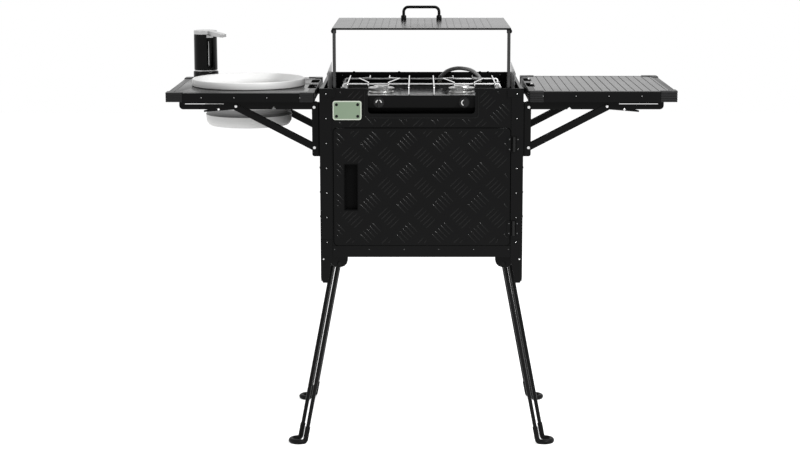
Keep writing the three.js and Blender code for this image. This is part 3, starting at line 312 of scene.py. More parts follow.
@dataclass(frozen=True)
class Finish:
    """One finish: its colour, how it shines, and the texture that breaks it up."""

    name: str
    colour: Colour
    pale: Colour
    roughness: float
    rough_change: float = 0.05
    metallic: float = 0.0
    specular: float = 0.5
    grain: Grain = Grain.COAT
    grain_scale: float = 1400.0
    grain_depth: float = 0.00003
    bump: float = 0.1
    rub_threshold: float = 0.85
    rub_colour: Colour = (0.05, 0.05, 0.052)

    def material(self) -> bpy.types.Material:
        """The finish as a node-based material, made when it is first asked for."""
        return bpy.data.materials.get(self.name) or self.build()

    def build(self) -> bpy.types.Material:
        """Makes the material's nodes.

        Returns:
            The new material.
        """
        material = bpy.data.materials.new(self.name)
        material.use_nodes = True
        tree = material.node_tree
        coat = self.grain is Grain.COAT
        place = node(tree, "ShaderNodeTexCoord")
        texture = node(tree, "ShaderNodeGroup", node_tree=self.grain.group())
        feed(tree, texture, {
            "Vector": place.outputs["Object"], "Grain Scale" if coat else "Line Scale": self.grain_scale,
        })
        tone = texture.outputs["Cloud" if coat else "Tone"]
        colour = node(tree, "ShaderNodeMix", {
            "A": (*self.colour, 1.0), "B": (*self.pale, 1.0), "Factor": tone,
        }, data_type="RGBA").outputs["Result"]
        if coat:
            feed(tree, texture, {"Rub Threshold": self.rub_threshold})
            colour = node(tree, "ShaderNodeMix", {
                "A": colour, "B": (*self.rub_colour, 1.0), "Factor": texture.outputs["Rub"],
            }, data_type="RGBA").outputs["Result"]
        gloss = node(tree, "ShaderNodeMapRange", {
            "Value": tone,
            "To Min": max(self.roughness - self.rough_change, 0.02),
            "To Max": min(self.roughness + self.rough_change, 1.0),
        })
        bump = node(tree, "ShaderNodeBump", {
            "Strength": self.bump, "Distance": self.grain_depth, "Height": texture.outputs["Height"],
        })
        feed(tree, tree.nodes["Principled BSDF"], {
            "Base Color": colour, "Metallic": self.metallic, "Specular IOR Level": self.specular,
            "Roughness": gloss, "Normal": bump,
        })
        return material


POWDER = Finish("black_powder_coat_finish", (0.0022, 0.0022, 0.0023), (0.0036, 0.0036, 0.0037), 0.3,
                specular=0.085, grain_depth=0.00004, bump=0.2, rub_threshold=0.78,
                rub_colour=(0.03, 0.03, 0.031))
TOP_COAT = Finish("table_top_coat_finish", grey(0.004), grey(0.007), 0.24, 0.04, specular=0.26,
                  grain_scale=1800.0, grain_depth=0.00002, rub_threshold=0.8)
# Painted shade: a near-black, dull finish laid on the grooves' floors, beside the hinges' barrels and in the
# channels' mouths, where shade falls.
PAINTED_SHADE = Finish("groove_shade_finish", grey(0.002), grey(0.003), 0.6, specular=0.03, rub_colour=grey(0.01))
# Painted shade: darker than the black coat, for the sunk pull's pocket and the rivets' heads.
PAINTED_DARK = Finish("pull_pocket_finish", (0.0012, 0.0012, 0.0013), grey(0.002), 0.5, specular=0.04,
                rub_colour=grey(0.01))
TREAD_COAT = Finish("tread_ridge_coat_finish", (0.0022, 0.0022, 0.0023), (0.0036, 0.0036, 0.0037), 0.22,
                    specular=0.16, bump=0.12, rub_threshold=0.72)
ROD_COAT = Finish("black_rod_coat_finish", (0.0025, 0.0025, 0.0026), (0.004, 0.004, 0.0042), 0.24,
                  specular=0.1, grain_depth=0.00004, bump=0.15, rub_threshold=0.76, rub_colour=grey(0.03))
NYLON = Finish("black_nylon_finish", (0.004, 0.004, 0.0042), (0.008, 0.008, 0.0084), 0.4, 0.08,
               specular=0.25, grain_scale=2200.0, grain_depth=0.00006, bump=0.3, rub_threshold=0.8,
               rub_colour=grey(0.03))
RUBBER = Finish("leg_rubber_finish", (0.003, 0.003, 0.0031), (0.005, 0.005, 0.0051), 0.42, 0.08,
                specular=0.09, grain_scale=1200.0, grain_depth=0.00006, bump=0.3, rub_threshold=0.8,
                rub_colour=grey(0.02))
HOSE = Finish("hose_rubber_finish", grey(0.14), grey(0.2), 0.42, 0.08, specular=0.4, grain_scale=1200.0,
              grain_depth=0.00006, bump=0.3, rub_threshold=0.8, rub_colour=grey(0.05))
GLOSS = Finish("gloss_black_finish", (0.002, 0.002, 0.0021), (0.003, 0.003, 0.0031), 0.13, 0.03,
               specular=0.1, grain_scale=500.0, grain_depth=0.00002, bump=0.05, rub_colour=grey(0.01))
ZINC = Finish("zinc_rivet_finish", grey(0.6), grey(0.76), 0.3, 0.1, metallic=1.0, grain_scale=2600.0,
              bump=0.2, rub_threshold=0.75, rub_colour=grey(0.4))
CHROME = Finish("chrome_wire_finish", grey(0.9), grey(0.96), 0.16, metallic=1.0, grain_scale=900.0,
                grain_depth=0.00002, bump=0.06, rub_threshold=0.78, rub_colour=grey(0.5))
# Painted reflection: the grate's rails are plated wire, but get a pale, mostly diffuse coat so that they read
# as bright as a lit reflection.
RAIL_PAINTED_SHEEN = Finish("rail_wire_finish", grey(0.9), grey(0.96), 0.4, 0.06, metallic=0.12, specular=0.8,
                   grain_scale=900.0, grain_depth=0.00002, bump=0.06, rub_threshold=0.78,
                   rub_colour=grey(0.6))
# Painted shade for the lid's grooves: the lid's coat with less shine, so that the grooves read darker.
LID_GROOVE_SHADE = Finish("lid_groove_finish", grey(0.004), grey(0.007), 0.3, 0.04, specular=0.14,
                    grain_scale=1800.0, grain_depth=0.00002)
HANDLE_COAT = Finish("handle_coat_finish", grey(0.002), grey(0.0032), 0.34, specular=0.07,
                     grain_depth=0.00004, bump=0.15, rub_threshold=0.9, rub_colour=grey(0.01))
SATIN_CHROME = Finish("satin_chrome_finish", grey(0.4), grey(0.5), 0.24, 0.06, grain=Grain.BRUSH,
                      metallic=1.0, grain_scale=1500.0, grain_depth=0.00002)
POST_STEEL = Finish("post_steel_finish", grey(0.045), grey(0.07), 0.25, grain=Grain.BRUSH, metallic=1.0,
                    grain_scale=1200.0, grain_depth=0.00002)
SCREW_STEEL = Finish("screw_steel_finish", grey(0.1), grey(0.15), 0.28, metallic=1.0, grain_scale=2000.0,
                     grain_depth=0.00002, rub_threshold=0.7, rub_colour=grey(0.12))
SHEET = Finish("bright_sheet_finish", grey(0.4), grey(0.52), 0.38, 0.08, grain=Grain.BRUSH, metallic=0.8,
               grain_scale=700.0, bump=0.2)
ENAMEL = Finish("stove_enamel_finish", grey(0.003), grey(0.006), 0.12, 0.03, specular=0.42,
                grain_scale=1200.0, rub_threshold=0.78, rub_colour=grey(0.03))
ALLOY = Finish("burner_alloy_finish", (0.62, 0.62, 0.61), (0.8, 0.8, 0.79), 0.32, 0.08, metallic=1.0,
               grain_scale=700.0, grain_depth=0.00006, bump=0.3, rub_threshold=0.7,
               rub_colour=(0.3, 0.29, 0.28))
IRON = Finish("burner_iron_finish", grey(0.01), grey(0.02), 0.5, 0.1, metallic=0.3, grain_scale=600.0,
              grain_depth=0.0001, bump=0.4, rub_threshold=0.66, rub_colour=(0.05, 0.045, 0.04))
BRASS = Finish("gas_brass_finish", (0.06, 0.052, 0.035), (0.1, 0.085, 0.055), 0.34, 0.08, metallic=1.0,
               grain_scale=1500.0, bump=0.15, rub_threshold=0.72, rub_colour=(0.16, 0.13, 0.08))
SILICONE = Finish("pale_silicone_finish", (0.64, 0.64, 0.635), (0.7, 0.7, 0.695), 0.42, 0.06, specular=0.35,
                  grain_scale=800.0, bump=0.15, rub_colour=(0.6, 0.6, 0.59))
BOWL_WALL = Finish("bowl_wall_silicone_finish", (0.84, 0.84, 0.83), (0.9, 0.9, 0.89), 0.42, 0.06,
                   specular=0.35, grain_scale=800.0, bump=0.15, rub_colour=(0.8, 0.8, 0.79))
# Painted shadow: a grey stripe on the bowl's pale wall, over its fold, where the table's shadow and the
# fold's shade fall.
FOLD_PAINTED_SHADOW = Finish("grey_fold_band_finish", grey(0.26), grey(0.32), 0.5, 0.06, specular=0.4,
                   grain_scale=800.0, grain_depth=0.00004, bump=0.2, rub_colour=grey(0.3))
# Painted highlight: a lighter, glossier copy of the black coat for the hinges' barrels.
BARREL_PAINTED_HIGHLIGHT = Finish("hinge_barrel_finish", grey(0.004), grey(0.007), 0.3, specular=0.2, rub_threshold=0.8,
                rub_colour=grey(0.03))
INLAY = Finish("tap_inlay_finish", grey(0.0005), grey(0.0009), 0.4, specular=0.0, grain_depth=0.00002,
               bump=0.05, rub_threshold=0.9, rub_colour=grey(0.002))
SAGE = Finish("sage_enamel_finish", (0.17, 0.23, 0.155), (0.2, 0.265, 0.185), 0.45, 0.06, specular=0.4,
              grain_scale=900.0, bump=0.12, rub_threshold=0.78, rub_colour=(0.3, 0.36, 0.27))
PALE_PLATE = Finish("pale_plate_finish", (0.5, 0.54, 0.46), (0.58, 0.62, 0.54), 0.35, 0.06, metallic=0.5,
                    grain_scale=900.0, bump=0.12, rub_threshold=0.75, rub_colour=(0.35, 0.38, 0.32))


# Shapes made by hand


def rounded(corners: Sequence[Point], steps: int = 5) -> list[Flat]:
    """A closed flat outline with rounded corners.

    Args:
        corners: each corner's two places and its radius.
        steps: how many chords an arc gets.

    Returns:
        The outline's points in order.
    """
    points: list[Flat] = []
    count = len(corners)
    for index, (a, b, radius) in enumerate(corners):
        corner = Vector((a, b))
        if radius <= 0.0:
            points.append((a, b))
            continue
        back = (Vector(corners[index - 1][:2]) - corner).normalized()
        onward = (Vector(corners[(index + 1) % count][:2]) - corner).normalized()
        opening = back.angle(onward) / 2
        reach = min(radius / math.tan(opening), 0.49 * (Vector(corners[index - 1][:2]) - corner).length)
        radius = reach * math.tan(opening)
        centre = corner + (back + onward).normalized() * radius / math.sin(opening)
        start = corner + back * reach - centre
        end = corner + onward * reach - centre
        sweep = math.atan2(start.x * end.y - start.y * end.x, start.dot(end))
        for step in range(steps + 1):
            turned = Matrix.Rotation(sweep * step / steps, 2) @ start
            points.append((centre.x + turned.x, centre.y + turned.y))
    return points


def box_outline(a: Flat, b: Flat, radius: float = 0.0, steps: int = 5) -> list[Flat]:
    """A rectangle with rounded corners, between two places on each axis."""
    corners = [(a[0], b[0], radius), (a[1], b[0], radius), (a[1], b[1], radius), (a[0], b[1], radius)]
    return rounded(corners, steps)


def bent(corners: Sequence[Vector], radius: float | Sequence[float], steps: int = 7) -> list[Vector]:
    """A wire's centre line: straight runs with an arc at each inner corner.

    Args:
        corners: the corners in order.
        radius: the bend radius, or one for each inner corner.
        steps: how many chords an arc gets.

    Returns:
        The line's points in order.
    """
    line = [corners[0]]
    for index in range(1, len(corners) - 1):
        bend = radius if isinstance(radius, float) else radius[index - 1]
        arriving = (corners[index] - corners[index - 1]).normalized()
        leaving = (corners[index + 1] - corners[index]).normalized()
        turn = arriving.angle(leaving)
        if turn < FLAT:
            line.append(corners[index])
            continue
        start = corners[index] - arriving * bend * math.tan(turn / 2)
        inward = (leaving - arriving * leaving.dot(arriving)).normalized()
        for step in range(steps + 1):
            angle = turn * step / steps
            line.append(start + arriving * bend * math.sin(angle) + inward * bend * (1 - math.cos(angle)))
    line.append(corners[-1])
    kept = [line[0]]
    for point in line[1:]:
        if (point - kept[-1]).length > MERGE * 10:
            kept.append(point)
    return kept


@dataclass
class Shape:
    """The faces of one piece while it is being made."""

    mesh: bmesh.types.BMesh = field(default_factory=bmesh.new)
    skins: list[Finish] = field(default_factory=list)

    def skin(self, finish: Finish) -> int:
        """The place of a finish in this piece's list.

        Args:
            finish: the finish, which is added if it is new.

        Returns:
            Its place.
        """
        if finish not in self.skins:
            self.skins.append(finish)
        return self.skins.index(finish)

    def bridge(self, rings: Sequence[Sequence[Vector]], finish: Finish, capped: bool = True,
               looped: bool = False) -> None:
        """Joins rings of points, one after the other, into a closed skin.

        Args:
            rings: rings with the same number of points.
            finish: the skin's finish.
            capped: whether the first and last ring are closed with a face.
            looped: whether the last ring joins on to the first.
        """
        skin = self.skin(finish)
        made = [[self.mesh.verts.new(point) for point in ring] for ring in rings]
        pairs = list(zip(made, made[1:]))
        if looped:
            pairs.append((made[-1], made[0]))
        faces = []
        for first, second in pairs:
            size = len(first)
            for index in range(size):
                follow = (index + 1) % size
                corners = (first[index], first[follow], second[follow], second[index])
                faces.append(self.mesh.faces.new(corners))
        if capped and not looped:
            faces.append(self.mesh.faces.new(list(reversed(made[0]))))
            faces.append(self.mesh.faces.new(made[-1]))
        for face in faces:
            face.material_index = skin

    def tube(self, line: Sequence[Vector], radius: float, finish: Finish, sides: int = 16) -> None:
        """A round rod along a line, turned as little as it can be on the way.

        Args:
            line: the centre line's points.
            radius: the rod's radius.
            finish: the rod's finish.
            sides: how many sides the rod gets.
        """
        rings = []
        across = None
        for index, point in enumerate(line):
            before = line[max(index - 1, 0)]
            after = line[min(index + 1, len(line) - 1)]
            along = (after - before).normalized()
            if across is None:
                across = along.orthogonal().normalized()
            across = (across - along * across.dot(along)).normalized()
            over = along.cross(across)
            rings.append([
                point + (across * math.cos(turn) + over * math.sin(turn)) * radius
                for turn in (math.tau * side / sides for side in range(sides))
            ])
        self.bridge(rings, finish)

    def turned(self, profile: Sequence[Flat], centre: Flat, finish: Finish, axis: Axis = Axis.Z,
               sides: int = 48) -> None:
        """A turned shape, from an outline of radius and place along the axis.

        Args:
            profile: radius and place, from one end on the axis round to the other, or a closed outline.
            centre: the axis's two places in the plane across it.
            finish: the shape's finish.
            axis: the direction of the axis.
            sides: how many sides the shape gets.
        """
        rings = []
        for radius, along in profile:
            reach = max(radius, MERGE / 4)
            rings.append([
                axis.place(centre[0] + reach * math.cos(turn), centre[1] + reach * math.sin(turn), along)
                for turn in (math.tau * side / sides for side in range(sides))
            ])
        closed = profile[0][0] > MERGE and profile[-1][0] > MERGE
        self.bridge(rings, finish, capped=not closed, looped=closed)

    def slab(self, outline: Sequence[Flat], axis: Axis, low: float, high: float, finish: Finish) -> None:
        """A flat outline given a thickness along an axis."""
        rings = [[axis.place(a, b, along) for a, b in outline] for along in (low, high)]
        self.bridge(rings, finish)

    def rim(self, x: Flat, y: Flat, section: Sequence[Flat], finish: Finish) -> None:
        """A mitred rectangular frame.

        Args:
            x: the frame's outer places from left to right.
            y: the frame's outer places from front to rear.
            section: a closed outline of the place inward from the frame's edge and the height.
            finish: the frame's finish.
        """
        rings = []
        for end_x, end_y in ((0, 0), (1, 0), (1, 1), (0, 1)):
            inward_x = 1 if end_x == 0 else -1
            inward_y = 1 if end_y == 0 else -1
            rings.append([
                Vector((x[end_x] + inward_x * inset, y[end_y] + inward_y * inset, height))
                for inset, height in section
            ])
        self.bridge(rings, finish, looped=True)

    def as_mesh(self, name: str) -> bpy.types.Mesh:
        """Merges the shape's doubles, turns its faces outwards and makes it a mesh in metres.

        Args:
            name: the mesh's name.

        Returns:
            The mesh.
        """
        mesh = self.mesh
        bmesh.ops.remove_doubles(mesh, verts=mesh.verts, dist=MERGE)
        bmesh.ops.dissolve_degenerate(mesh, edges=mesh.edges, dist=MERGE)
        bmesh.ops.recalc_face_normals(mesh, faces=mesh.faces)
        bmesh.ops.scale(mesh, vec=(MM, MM, MM), verts=mesh.verts)
        data = bpy.data.meshes.new(name)
        mesh.to_mesh(data)
        mesh.free()
        return data

    def shown(self, name: str) -> bpy.types.Object:
        """The shape as an object in the scene, with its finishes."""
        return shown(name, self.as_mesh(name), self.skins)


def placed(name: str, data: bpy.types.ID) -> bpy.types.Object:
    """Puts a new object in the scene.

    Args:
        name: its name.
        data: its mesh, camera or light.

    Returns:
        The object.
    """
    made = bpy.data.objects.new(name, data)
    bpy.context.scene.collection.objects.link(made)
    return made


def smooth(data: bpy.types.Mesh) -> None:
    """Smooths a mesh's faces, and keeps its creases sharp."""
    data.polygons.foreach_set("use_smooth", [True] * len(data.polygons))
    data.set_sharp_from_angle(angle=CREASE)


def evened(made: bpy.types.Object, name: str) -> bpy.types.Object:
    """Smooths a piece with rounded edges so that its broad faces still shade flat.

    Args:
        made: the plain piece.
        name: the name that it keeps.

    Returns:
        The piece with its normals weighted by the faces' areas.
    """
    smooth(made.data)
    weigh = made.modifiers.new("weighted_normals", "WEIGHTED_NORMAL")
    weigh.keep_sharp = True
    weigh.weight = 90
    return baked(made, name)


def shown(name: str, data: bpy.types.Mesh, skins: Iterable[Finish]) -> bpy.types.Object:
    """Puts a mesh in the scene as an object.

    Args:
        name: the object's name.
        data: the mesh.
        skins: its finishes.

    Returns:
        The object.
    """
    for finish in skins:
        data.materials.append(finish.material())
    return placed(name, data)


def baked(source: bpy.types.Object, name: str) -> bpy.types.Object:
    """Swaps an object for a plain one that holds what its modifiers make.

    Args:
        source: the object with live modifiers.
        name: the new object's name.

    Returns:
        The plain object.
    """
    scene_state = bpy.context.evaluated_depsgraph_get()
    data = bpy.data.meshes.new_from_object(source.evaluated_get(scene_state))
    old = source.data
    bpy.data.objects.remove(source)
    if old.users == 0:
        bpy.data.meshes.remove(old)
    data.name = name
    return placed(name, data)


@dataclass(frozen=True)
class Fit:
    """What a finished piece rides on, a record slot name for its finish that nothing here reads, and the
    nodes it stands for.
    """

    body: str
    slot: str
    nodes: tuple[str, ...] = ()


def coated(body: str, *nodes: str) -> Fit:
    """A powder-coated piece's fit: its body, and the nodes that it stands for."""
    return Fit(body, "black_powder_coat", nodes)


def fitted(made: bpy.types.Object, fit: Fit) -> bpy.types.Object:
    """Puts a finished piece on its body and reports it.

    Args:
        made: the piece.
        fit: where it goes.

    Returns:
        The piece.
    """
    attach(made, fit.body)
    if fit.nodes:
        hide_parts(*fit.nodes)
    LOG.info("%s on %s, %d faces", made.name, fit.body, len(made.data.polygons))
    return made


def finished(shape: Shape, name: str, fit: Fit, edge: float = 0.0, segments: int = 2) -> bpy.types.Object:
    """Closes a shape, rounds its edges, and puts it on its body.

    Args:
        shape: the shape's faces.
        name: the piece's name.
        fit: where the piece goes.
        edge: how far its edges are rounded, or 0 for none.
        segments: how many faces a rounded edge gets.

    Returns:
        The finished piece.
    """
    made = shape.shown(name)
    if edge > 0.0:
        round_edges(made, edge, segments)
        made = evened(baked(made, name), name)
    else:
        smooth(made.data)
    return fitted(made, fit)


def round_edges(made: bpy.types.Object, edge: float, segments: int) -> None:
    """Gives an object a live bevel on its sharp edges.

    Args:
        made: the object.
        edge: the bevel's width.
        segments: how many faces it gets.
    """
    bevel = made.modifiers.new("rounded_edges", "BEVEL")
    bevel.width = edge * MM
    bevel.segments = segments
    bevel.limit_method = "ANGLE"
    bevel.angle_limit = CREASE
    bevel.use_clamp_overlap = True


@dataclass(frozen=True)
class Patch:
    """A box whose faces get a finish of their own."""

    x: Flat
    y: Flat
    z: Flat
    finish: Finish

    def holds(self, place: Vector) -> bool:
        """Whether a place in metres lies in the box."""
        spans = (self.x, self.y, self.z)
        return all(low <= value / MM <= high for value, (low, high) in zip(place, spans))


def softened(node: str, finish: Finish = POWDER, slot: str = "black_powder_coat", edge: float = 0.4,
             patches: Sequence[Patch] = ()) -> bpy.types.Object:
    """A copy of a frame node with its flat faces made whole and its edges rounded.

    Args:
        node: the frame node that the piece stands for.
        finish: its finish.
        slot: the record's slot name for the finish, which goes into the piece's fit and is not used.
        edge: how far its edges are rounded.
        patches: boxes whose faces get another finish.

    Returns:
        The finished piece.
    """
    source = bpy.data.objects[node]
    name = f"{node}_finished"
    copy = bmesh.new()
    copy.from_mesh(source.data)
    bmesh.ops.remove_doubles(copy, verts=copy.verts, dist=MERGE * MM * 5)
    bmesh.ops.dissolve_limit(copy, angle_limit=FLAT, verts=copy.verts, edges=copy.edges)
    data = bpy.data.meshes.new(name)
    copy.to_mesh(data)
    copy.free()
    data.materials.clear()
    made = shown(name, data, [finish, *[patch.finish for patch in patches]])
    data.polygons.foreach_set("material_index", [0] * len(data.polygons))
    round_edges(made, edge, 2)
    made = baked(made, name)
    for face in made.data.polygons:
        for index, patch in enumerate(patches):
            if patch.holds(face.center):
                face.material_index = index + 1
    return fitted(evened(made, name), Fit(source["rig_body"], slot, (node,)))


# Geometry Nodes trees for what repeats


@dataclass(frozen=True)
class Spot:
    """A place for a repeated shape, the way it faces, the way its length runs, and its stretch."""

    at: Point
    facing: Point
    heading: Point = UPWARD
    stretch: Point = (1.0, 1.0, 1.0)


def geometry_tree(name: str, inputs: Sequence[tuple[str, str]]) -> Started:
    """Starts a Geometry Nodes tree with a geometry input and output and more named inputs.

    Args:
        name: the tree's name.
        inputs: each further input's name and socket type.

    Returns:
        The tree, its input node and its output node.
    """
    tree = bpy.data.node_groups.new(name, "GeometryNodeTree")
    tree.interface.new_socket("Geometry", in_out="INPUT", socket_type="NodeSocketGeometry")
    for label, kind in inputs:
        tree.interface.new_socket(label, in_out="INPUT", socket_type=kind)
    tree.interface.new_socket("Geometry", in_out="OUTPUT", socket_type="NodeSocketGeometry")
    return tree, tree.nodes.new("NodeGroupInput"), tree.nodes.new("NodeGroupOutput")


def grown(name: str, data: bpy.types.Mesh, tree: bpy.types.NodeTree,
          values: dict[str, object]) -> bpy.types.Object:
    """What a Geometry Nodes tree makes of a mesh, as a plain object that is not yet on a body.

    Args:
        name: the object's name.
        data: the mesh that the tree starts from.
        tree: the tree.
        values: the tree's inputs by name, which are set by their sockets' identifiers.

    Returns:
        The plain object.
    """
    source = placed(f"{name}_points", data)
    modifier = source.modifiers.new(tree.name, "NODES")
    modifier.node_group = tree
    for item in tree.interface.items_tree:
        if item.item_type == "SOCKET" and item.in_out == "INPUT" and item.name in values:
            modifier[item.identifier] = values[item.name]
    return baked(source, name)


def domes_tree() -> bpy.types.NodeTree:
    """Domes on points: each is a stretched ball, half sunk in the surface that it faces away from.

    Returns:
        The tree, whose inputs give a dome's length, width and height, its detail, and the material.
    """
    made = bpy.data.node_groups.get("domes")
    if made:
        return made
    tree, enter, leave = geometry_tree("domes", [
        ("Length", "NodeSocketFloat"),
        ("Width", "NodeSocketFloat"),
        ("Height", "NodeSocketFloat"),
        ("Segments", "NodeSocketInt"),
        ("Rings", "NodeSocketInt"),
        ("Material", "NodeSocketMaterial"),
    ])
    value = enter.outputs
    ball = node(tree, "GeometryNodeMeshUVSphere", {
        "Radius": 1.0, "Segments": value["Segments"], "Rings": value["Rings"],
    })
    size = node(tree, "ShaderNodeCombineXYZ", {
        "X": value["Length"], "Y": value["Width"], "Z": value["Height"],
    })
    shaped = node(tree, "GeometryNodeTransform", {
        "Geometry": ball, "Scale": size,
    })
    facing, heading, stretch = (
        node(tree, "GeometryNodeInputNamedAttribute", {"Name": name},
             data_type="FLOAT_VECTOR").outputs["Attribute"]
        for name in ("facing", "heading", "stretch")
    )
    stand = node(tree, "FunctionNodeAlignEulerToVector", {"Vector": facing}, axis="Z")
    swing = node(tree, "FunctionNodeAlignEulerToVector", {
        "Rotation": stand, "Vector": heading,
    }, axis="X", pivot_axis="Z")
    place = node(tree, "GeometryNodeInstanceOnPoints", {
        "Points": value["Geometry"],
        "Instance": shaped,
        "Rotation": swing,
        "Scale": stretch,
    })
    real = node(tree, "GeometryNodeRealizeInstances", {"Geometry": place})
    paint = node(tree, "GeometryNodeSetMaterial", {
        "Geometry": real, "Material": value["Material"],
    })
    feed(tree, leave, {"Geometry": paint})
    return tree


@dataclass(frozen=True)
class Dome:
    """The sizes of a repeated dome, and its finish."""

    length: float
    width: float
    height: float
    finish: Finish
    segments: int = 14
    rings: int = 8


def domes(name: str, spots: Sequence[Spot], dome: Dome, fit: Fit) -> bpy.types.Object:
    """Grows a dome on each spot with Geometry Nodes.

    Args:
        name: the piece's name.
        spots: where the domes stand.
        dome: their size and finish.
        fit: where the piece goes.

    Returns:
        The finished piece.
    """
    data = bpy.data.meshes.new(f"{name}_points")
    data.from_pydata([Vector(spot.at) * MM for spot in spots], [], [])
    for label in ("facing", "heading", "stretch"):
        attribute = data.attributes.new(label, "FLOAT_VECTOR", "POINT")
        attribute.data.foreach_set("vector", [value for spot in spots for value in getattr(spot, label)])
    made = grown(name, data, domes_tree(), {
        "Length": dome.length * MM,
        "Width": dome.width * MM,
        "Height": dome.height * MM,
        "Segments": dome.segments,
        "Rings": dome.rings,
        "Material": dome.finish.material(),
    })
    smooth(made.data)
    return fitted(made, fit)


def cored(name: str, spots: Sequence[Spot], head: Dome, core: Dome, fit: Fit) -> None:
    """Builds blind rivets with painted light: dark heads, painted darker than the coat round them as painted
    shade, each with a small bright dome in its middle as a painted highlight.

    Args:
        name: the heads' name.
        spots: the places that they stand on.
        head: the heads' shape.
        core: the shape of the small bright domes that paint the highlights.
        fit: what they belong to.
    """
    domes(name, spots, head, fit)
    lift = head.height - HIGHLIGHT_CORE_SINK
    above = [Spot(tuple(Vector(spot.at) + Vector(spot.facing) * lift), spot.facing, spot.heading)
             for spot in spots]
    domes(f"{name[:-1]}_cores", above, core, fit)


RIBBED_SIZES = ("Low X", "High X", "Low Y", "High Y", "Top", "First", "Pitch", "Groove Width",
                "Groove Depth", "Thickness")


def ribbed_tree() -> bpy.types.NodeTree:
    """A sheet with round-bottomed grooves from front to rear, given its thickness downwards.

    Returns:
        The tree, whose inputs give the sheet's size, its grooves, its thickness, its material and the
        material of the painted shade that darkens the grooves' floors.
    """
    made = bpy.data.node_groups.get("ribbed_sheet")
    if made:
        return made
    tree, enter, leave = geometry_tree("ribbed_sheet", [
        *[(label, "NodeSocketFloat") for label in RIBBED_SIZES],
        ("Columns", "NodeSocketInt"),
        ("Count", "NodeSocketInt"),
        ("Material", "NodeSocketMaterial"),
        ("Groove Material", "NodeSocketMaterial"),
    ])
    value = enter.outputs
    calc = partial(maths, tree)
    low_x, high_x, low_y, high_y = (value[label] for label in RIBBED_SIZES[:4])
    grid = node(tree, "GeometryNodeMeshGrid", {
        "Size X": calc("SUBTRACT", high_x, low_x),
        "Size Y": calc("SUBTRACT", high_y, low_y),
        "Vertices X": value["Columns"],
        "Vertices Y": 2,
    })
    centre = node(tree, "ShaderNodeCombineXYZ", {
        "X": calc("MULTIPLY", calc("ADD", high_x, low_x), 0.5),
        "Y": calc("MULTIPLY", calc("ADD", high_y, low_y), 0.5),
        "Z": value["Top"],
    })
    flat = node(tree, "GeometryNodeTransform", {
        "Geometry": grid, "Translation": centre,
    })
    position = node(tree, "GeometryNodeInputPosition")
    split = node(tree, "ShaderNodeSeparateXYZ", {"Vector": position})
    steps = calc("DIVIDE", calc("SUBTRACT", split.outputs["X"], value["First"]), value["Pitch"])
    last = calc("SUBTRACT", value["Count"], 1.0)
    nearest = calc("MINIMUM", calc("MAXIMUM", calc("ROUND", steps), 0.0), last)
    away = calc("MULTIPLY", calc("ABSOLUTE", calc("SUBTRACT", steps, nearest)), value["Pitch"])
    half = calc("MULTIPLY", value["Groove Width"], 0.5)
    share = calc("SUBTRACT", 1.0, calc("DIVIDE", away, half), clamp=True)
    squared = calc("MULTIPLY", share, share)
    eased = calc("MULTIPLY", squared, calc("SUBTRACT", 3.0, calc("MULTIPLY", share, 2.0)))
    sink = calc("MULTIPLY", calc("MULTIPLY", eased, value["Groove Depth"]), -1.0)
    drop = node(tree, "ShaderNodeCombineXYZ", {"Z": sink})
    shaped = node(tree, "GeometryNodeSetPosition", {
        "Geometry": flat, "Offset": drop,
    })
    down = node(tree, "ShaderNodeCombineXYZ", {"Z": calc("MULTIPLY", value["Thickness"], -1.0)})
    thick = node(tree, "GeometryNodeExtrudeMesh", {
        "Mesh": shaped,
        "Offset": down,
        "Offset Scale": 1.0,
        "Individual": False,
    }, mode="FACES")
    top = node(tree, "GeometryNodeFlipFaces", {"Mesh": shaped})
    both = node(tree, "GeometryNodeJoinGeometry", {"Geometry": top})
    feed(tree, both, {"Geometry": thick})
    weld = node(tree, "GeometryNodeMergeByDistance", {
        "Geometry": both, "Distance": MERGE * MM,
    })
    turn_out = node(tree, "GeometryNodeFlipFaces", {"Mesh": weld})
    real = node(tree, "GeometryNodeRealizeInstances", {"Geometry": turn_out})
    paint = node(tree, "GeometryNodeSetMaterial", {
        "Geometry": real, "Material": value["Material"],
    })
    # Painted shade: faces near the middle of a groove get the darker groove shade material.
    shade = node(tree, "GeometryNodeSetMaterial", {
        "Selection": calc("GREATER_THAN", share, SHADED_GROOVE_SHARE),
        "Geometry": paint,
        "Material": value["Groove Material"],
    })
    feed(tree, leave, {"Geometry": shade})
    return tree


@dataclass(frozen=True)
class Ribbed:
    """A ribbed sheet's extent, its grooves, and the painted shade on the grooves' floors."""

    x: Flat
    y: Flat
    top: float
    first: float
    pitch: float
    count: int
    groove: float
    depth: float
    thickness: float
    columns: int
    finish: Finish
    # The painted shade laid on the grooves' floors.
    groove_finish: Finish = PAINTED_SHADE

    def grow(self, name: str) -> bpy.types.Object:
        """Makes the sheet with Geometry Nodes.

        Args:
            name: the object's name.

        Returns:
            A plain object that is not yet on a body.
        """
        data = bpy.data.meshes.new(f"{name}_seed")
        data.from_pydata([(0.0, 0.0, 0.0)], [], [])
        sizes = (*self.x, *self.y, self.top, self.first, self.pitch, self.groove, self.depth, self.thickness)
        return grown(name, data, ribbed_tree(), {
            **{label: size * MM for label, size in zip(RIBBED_SIZES, sizes)},
            "Columns": self.columns,
            "Count": self.count,
            "Material": self.finish.material(),
            "Groove Material": self.groove_finish.material(),
        })


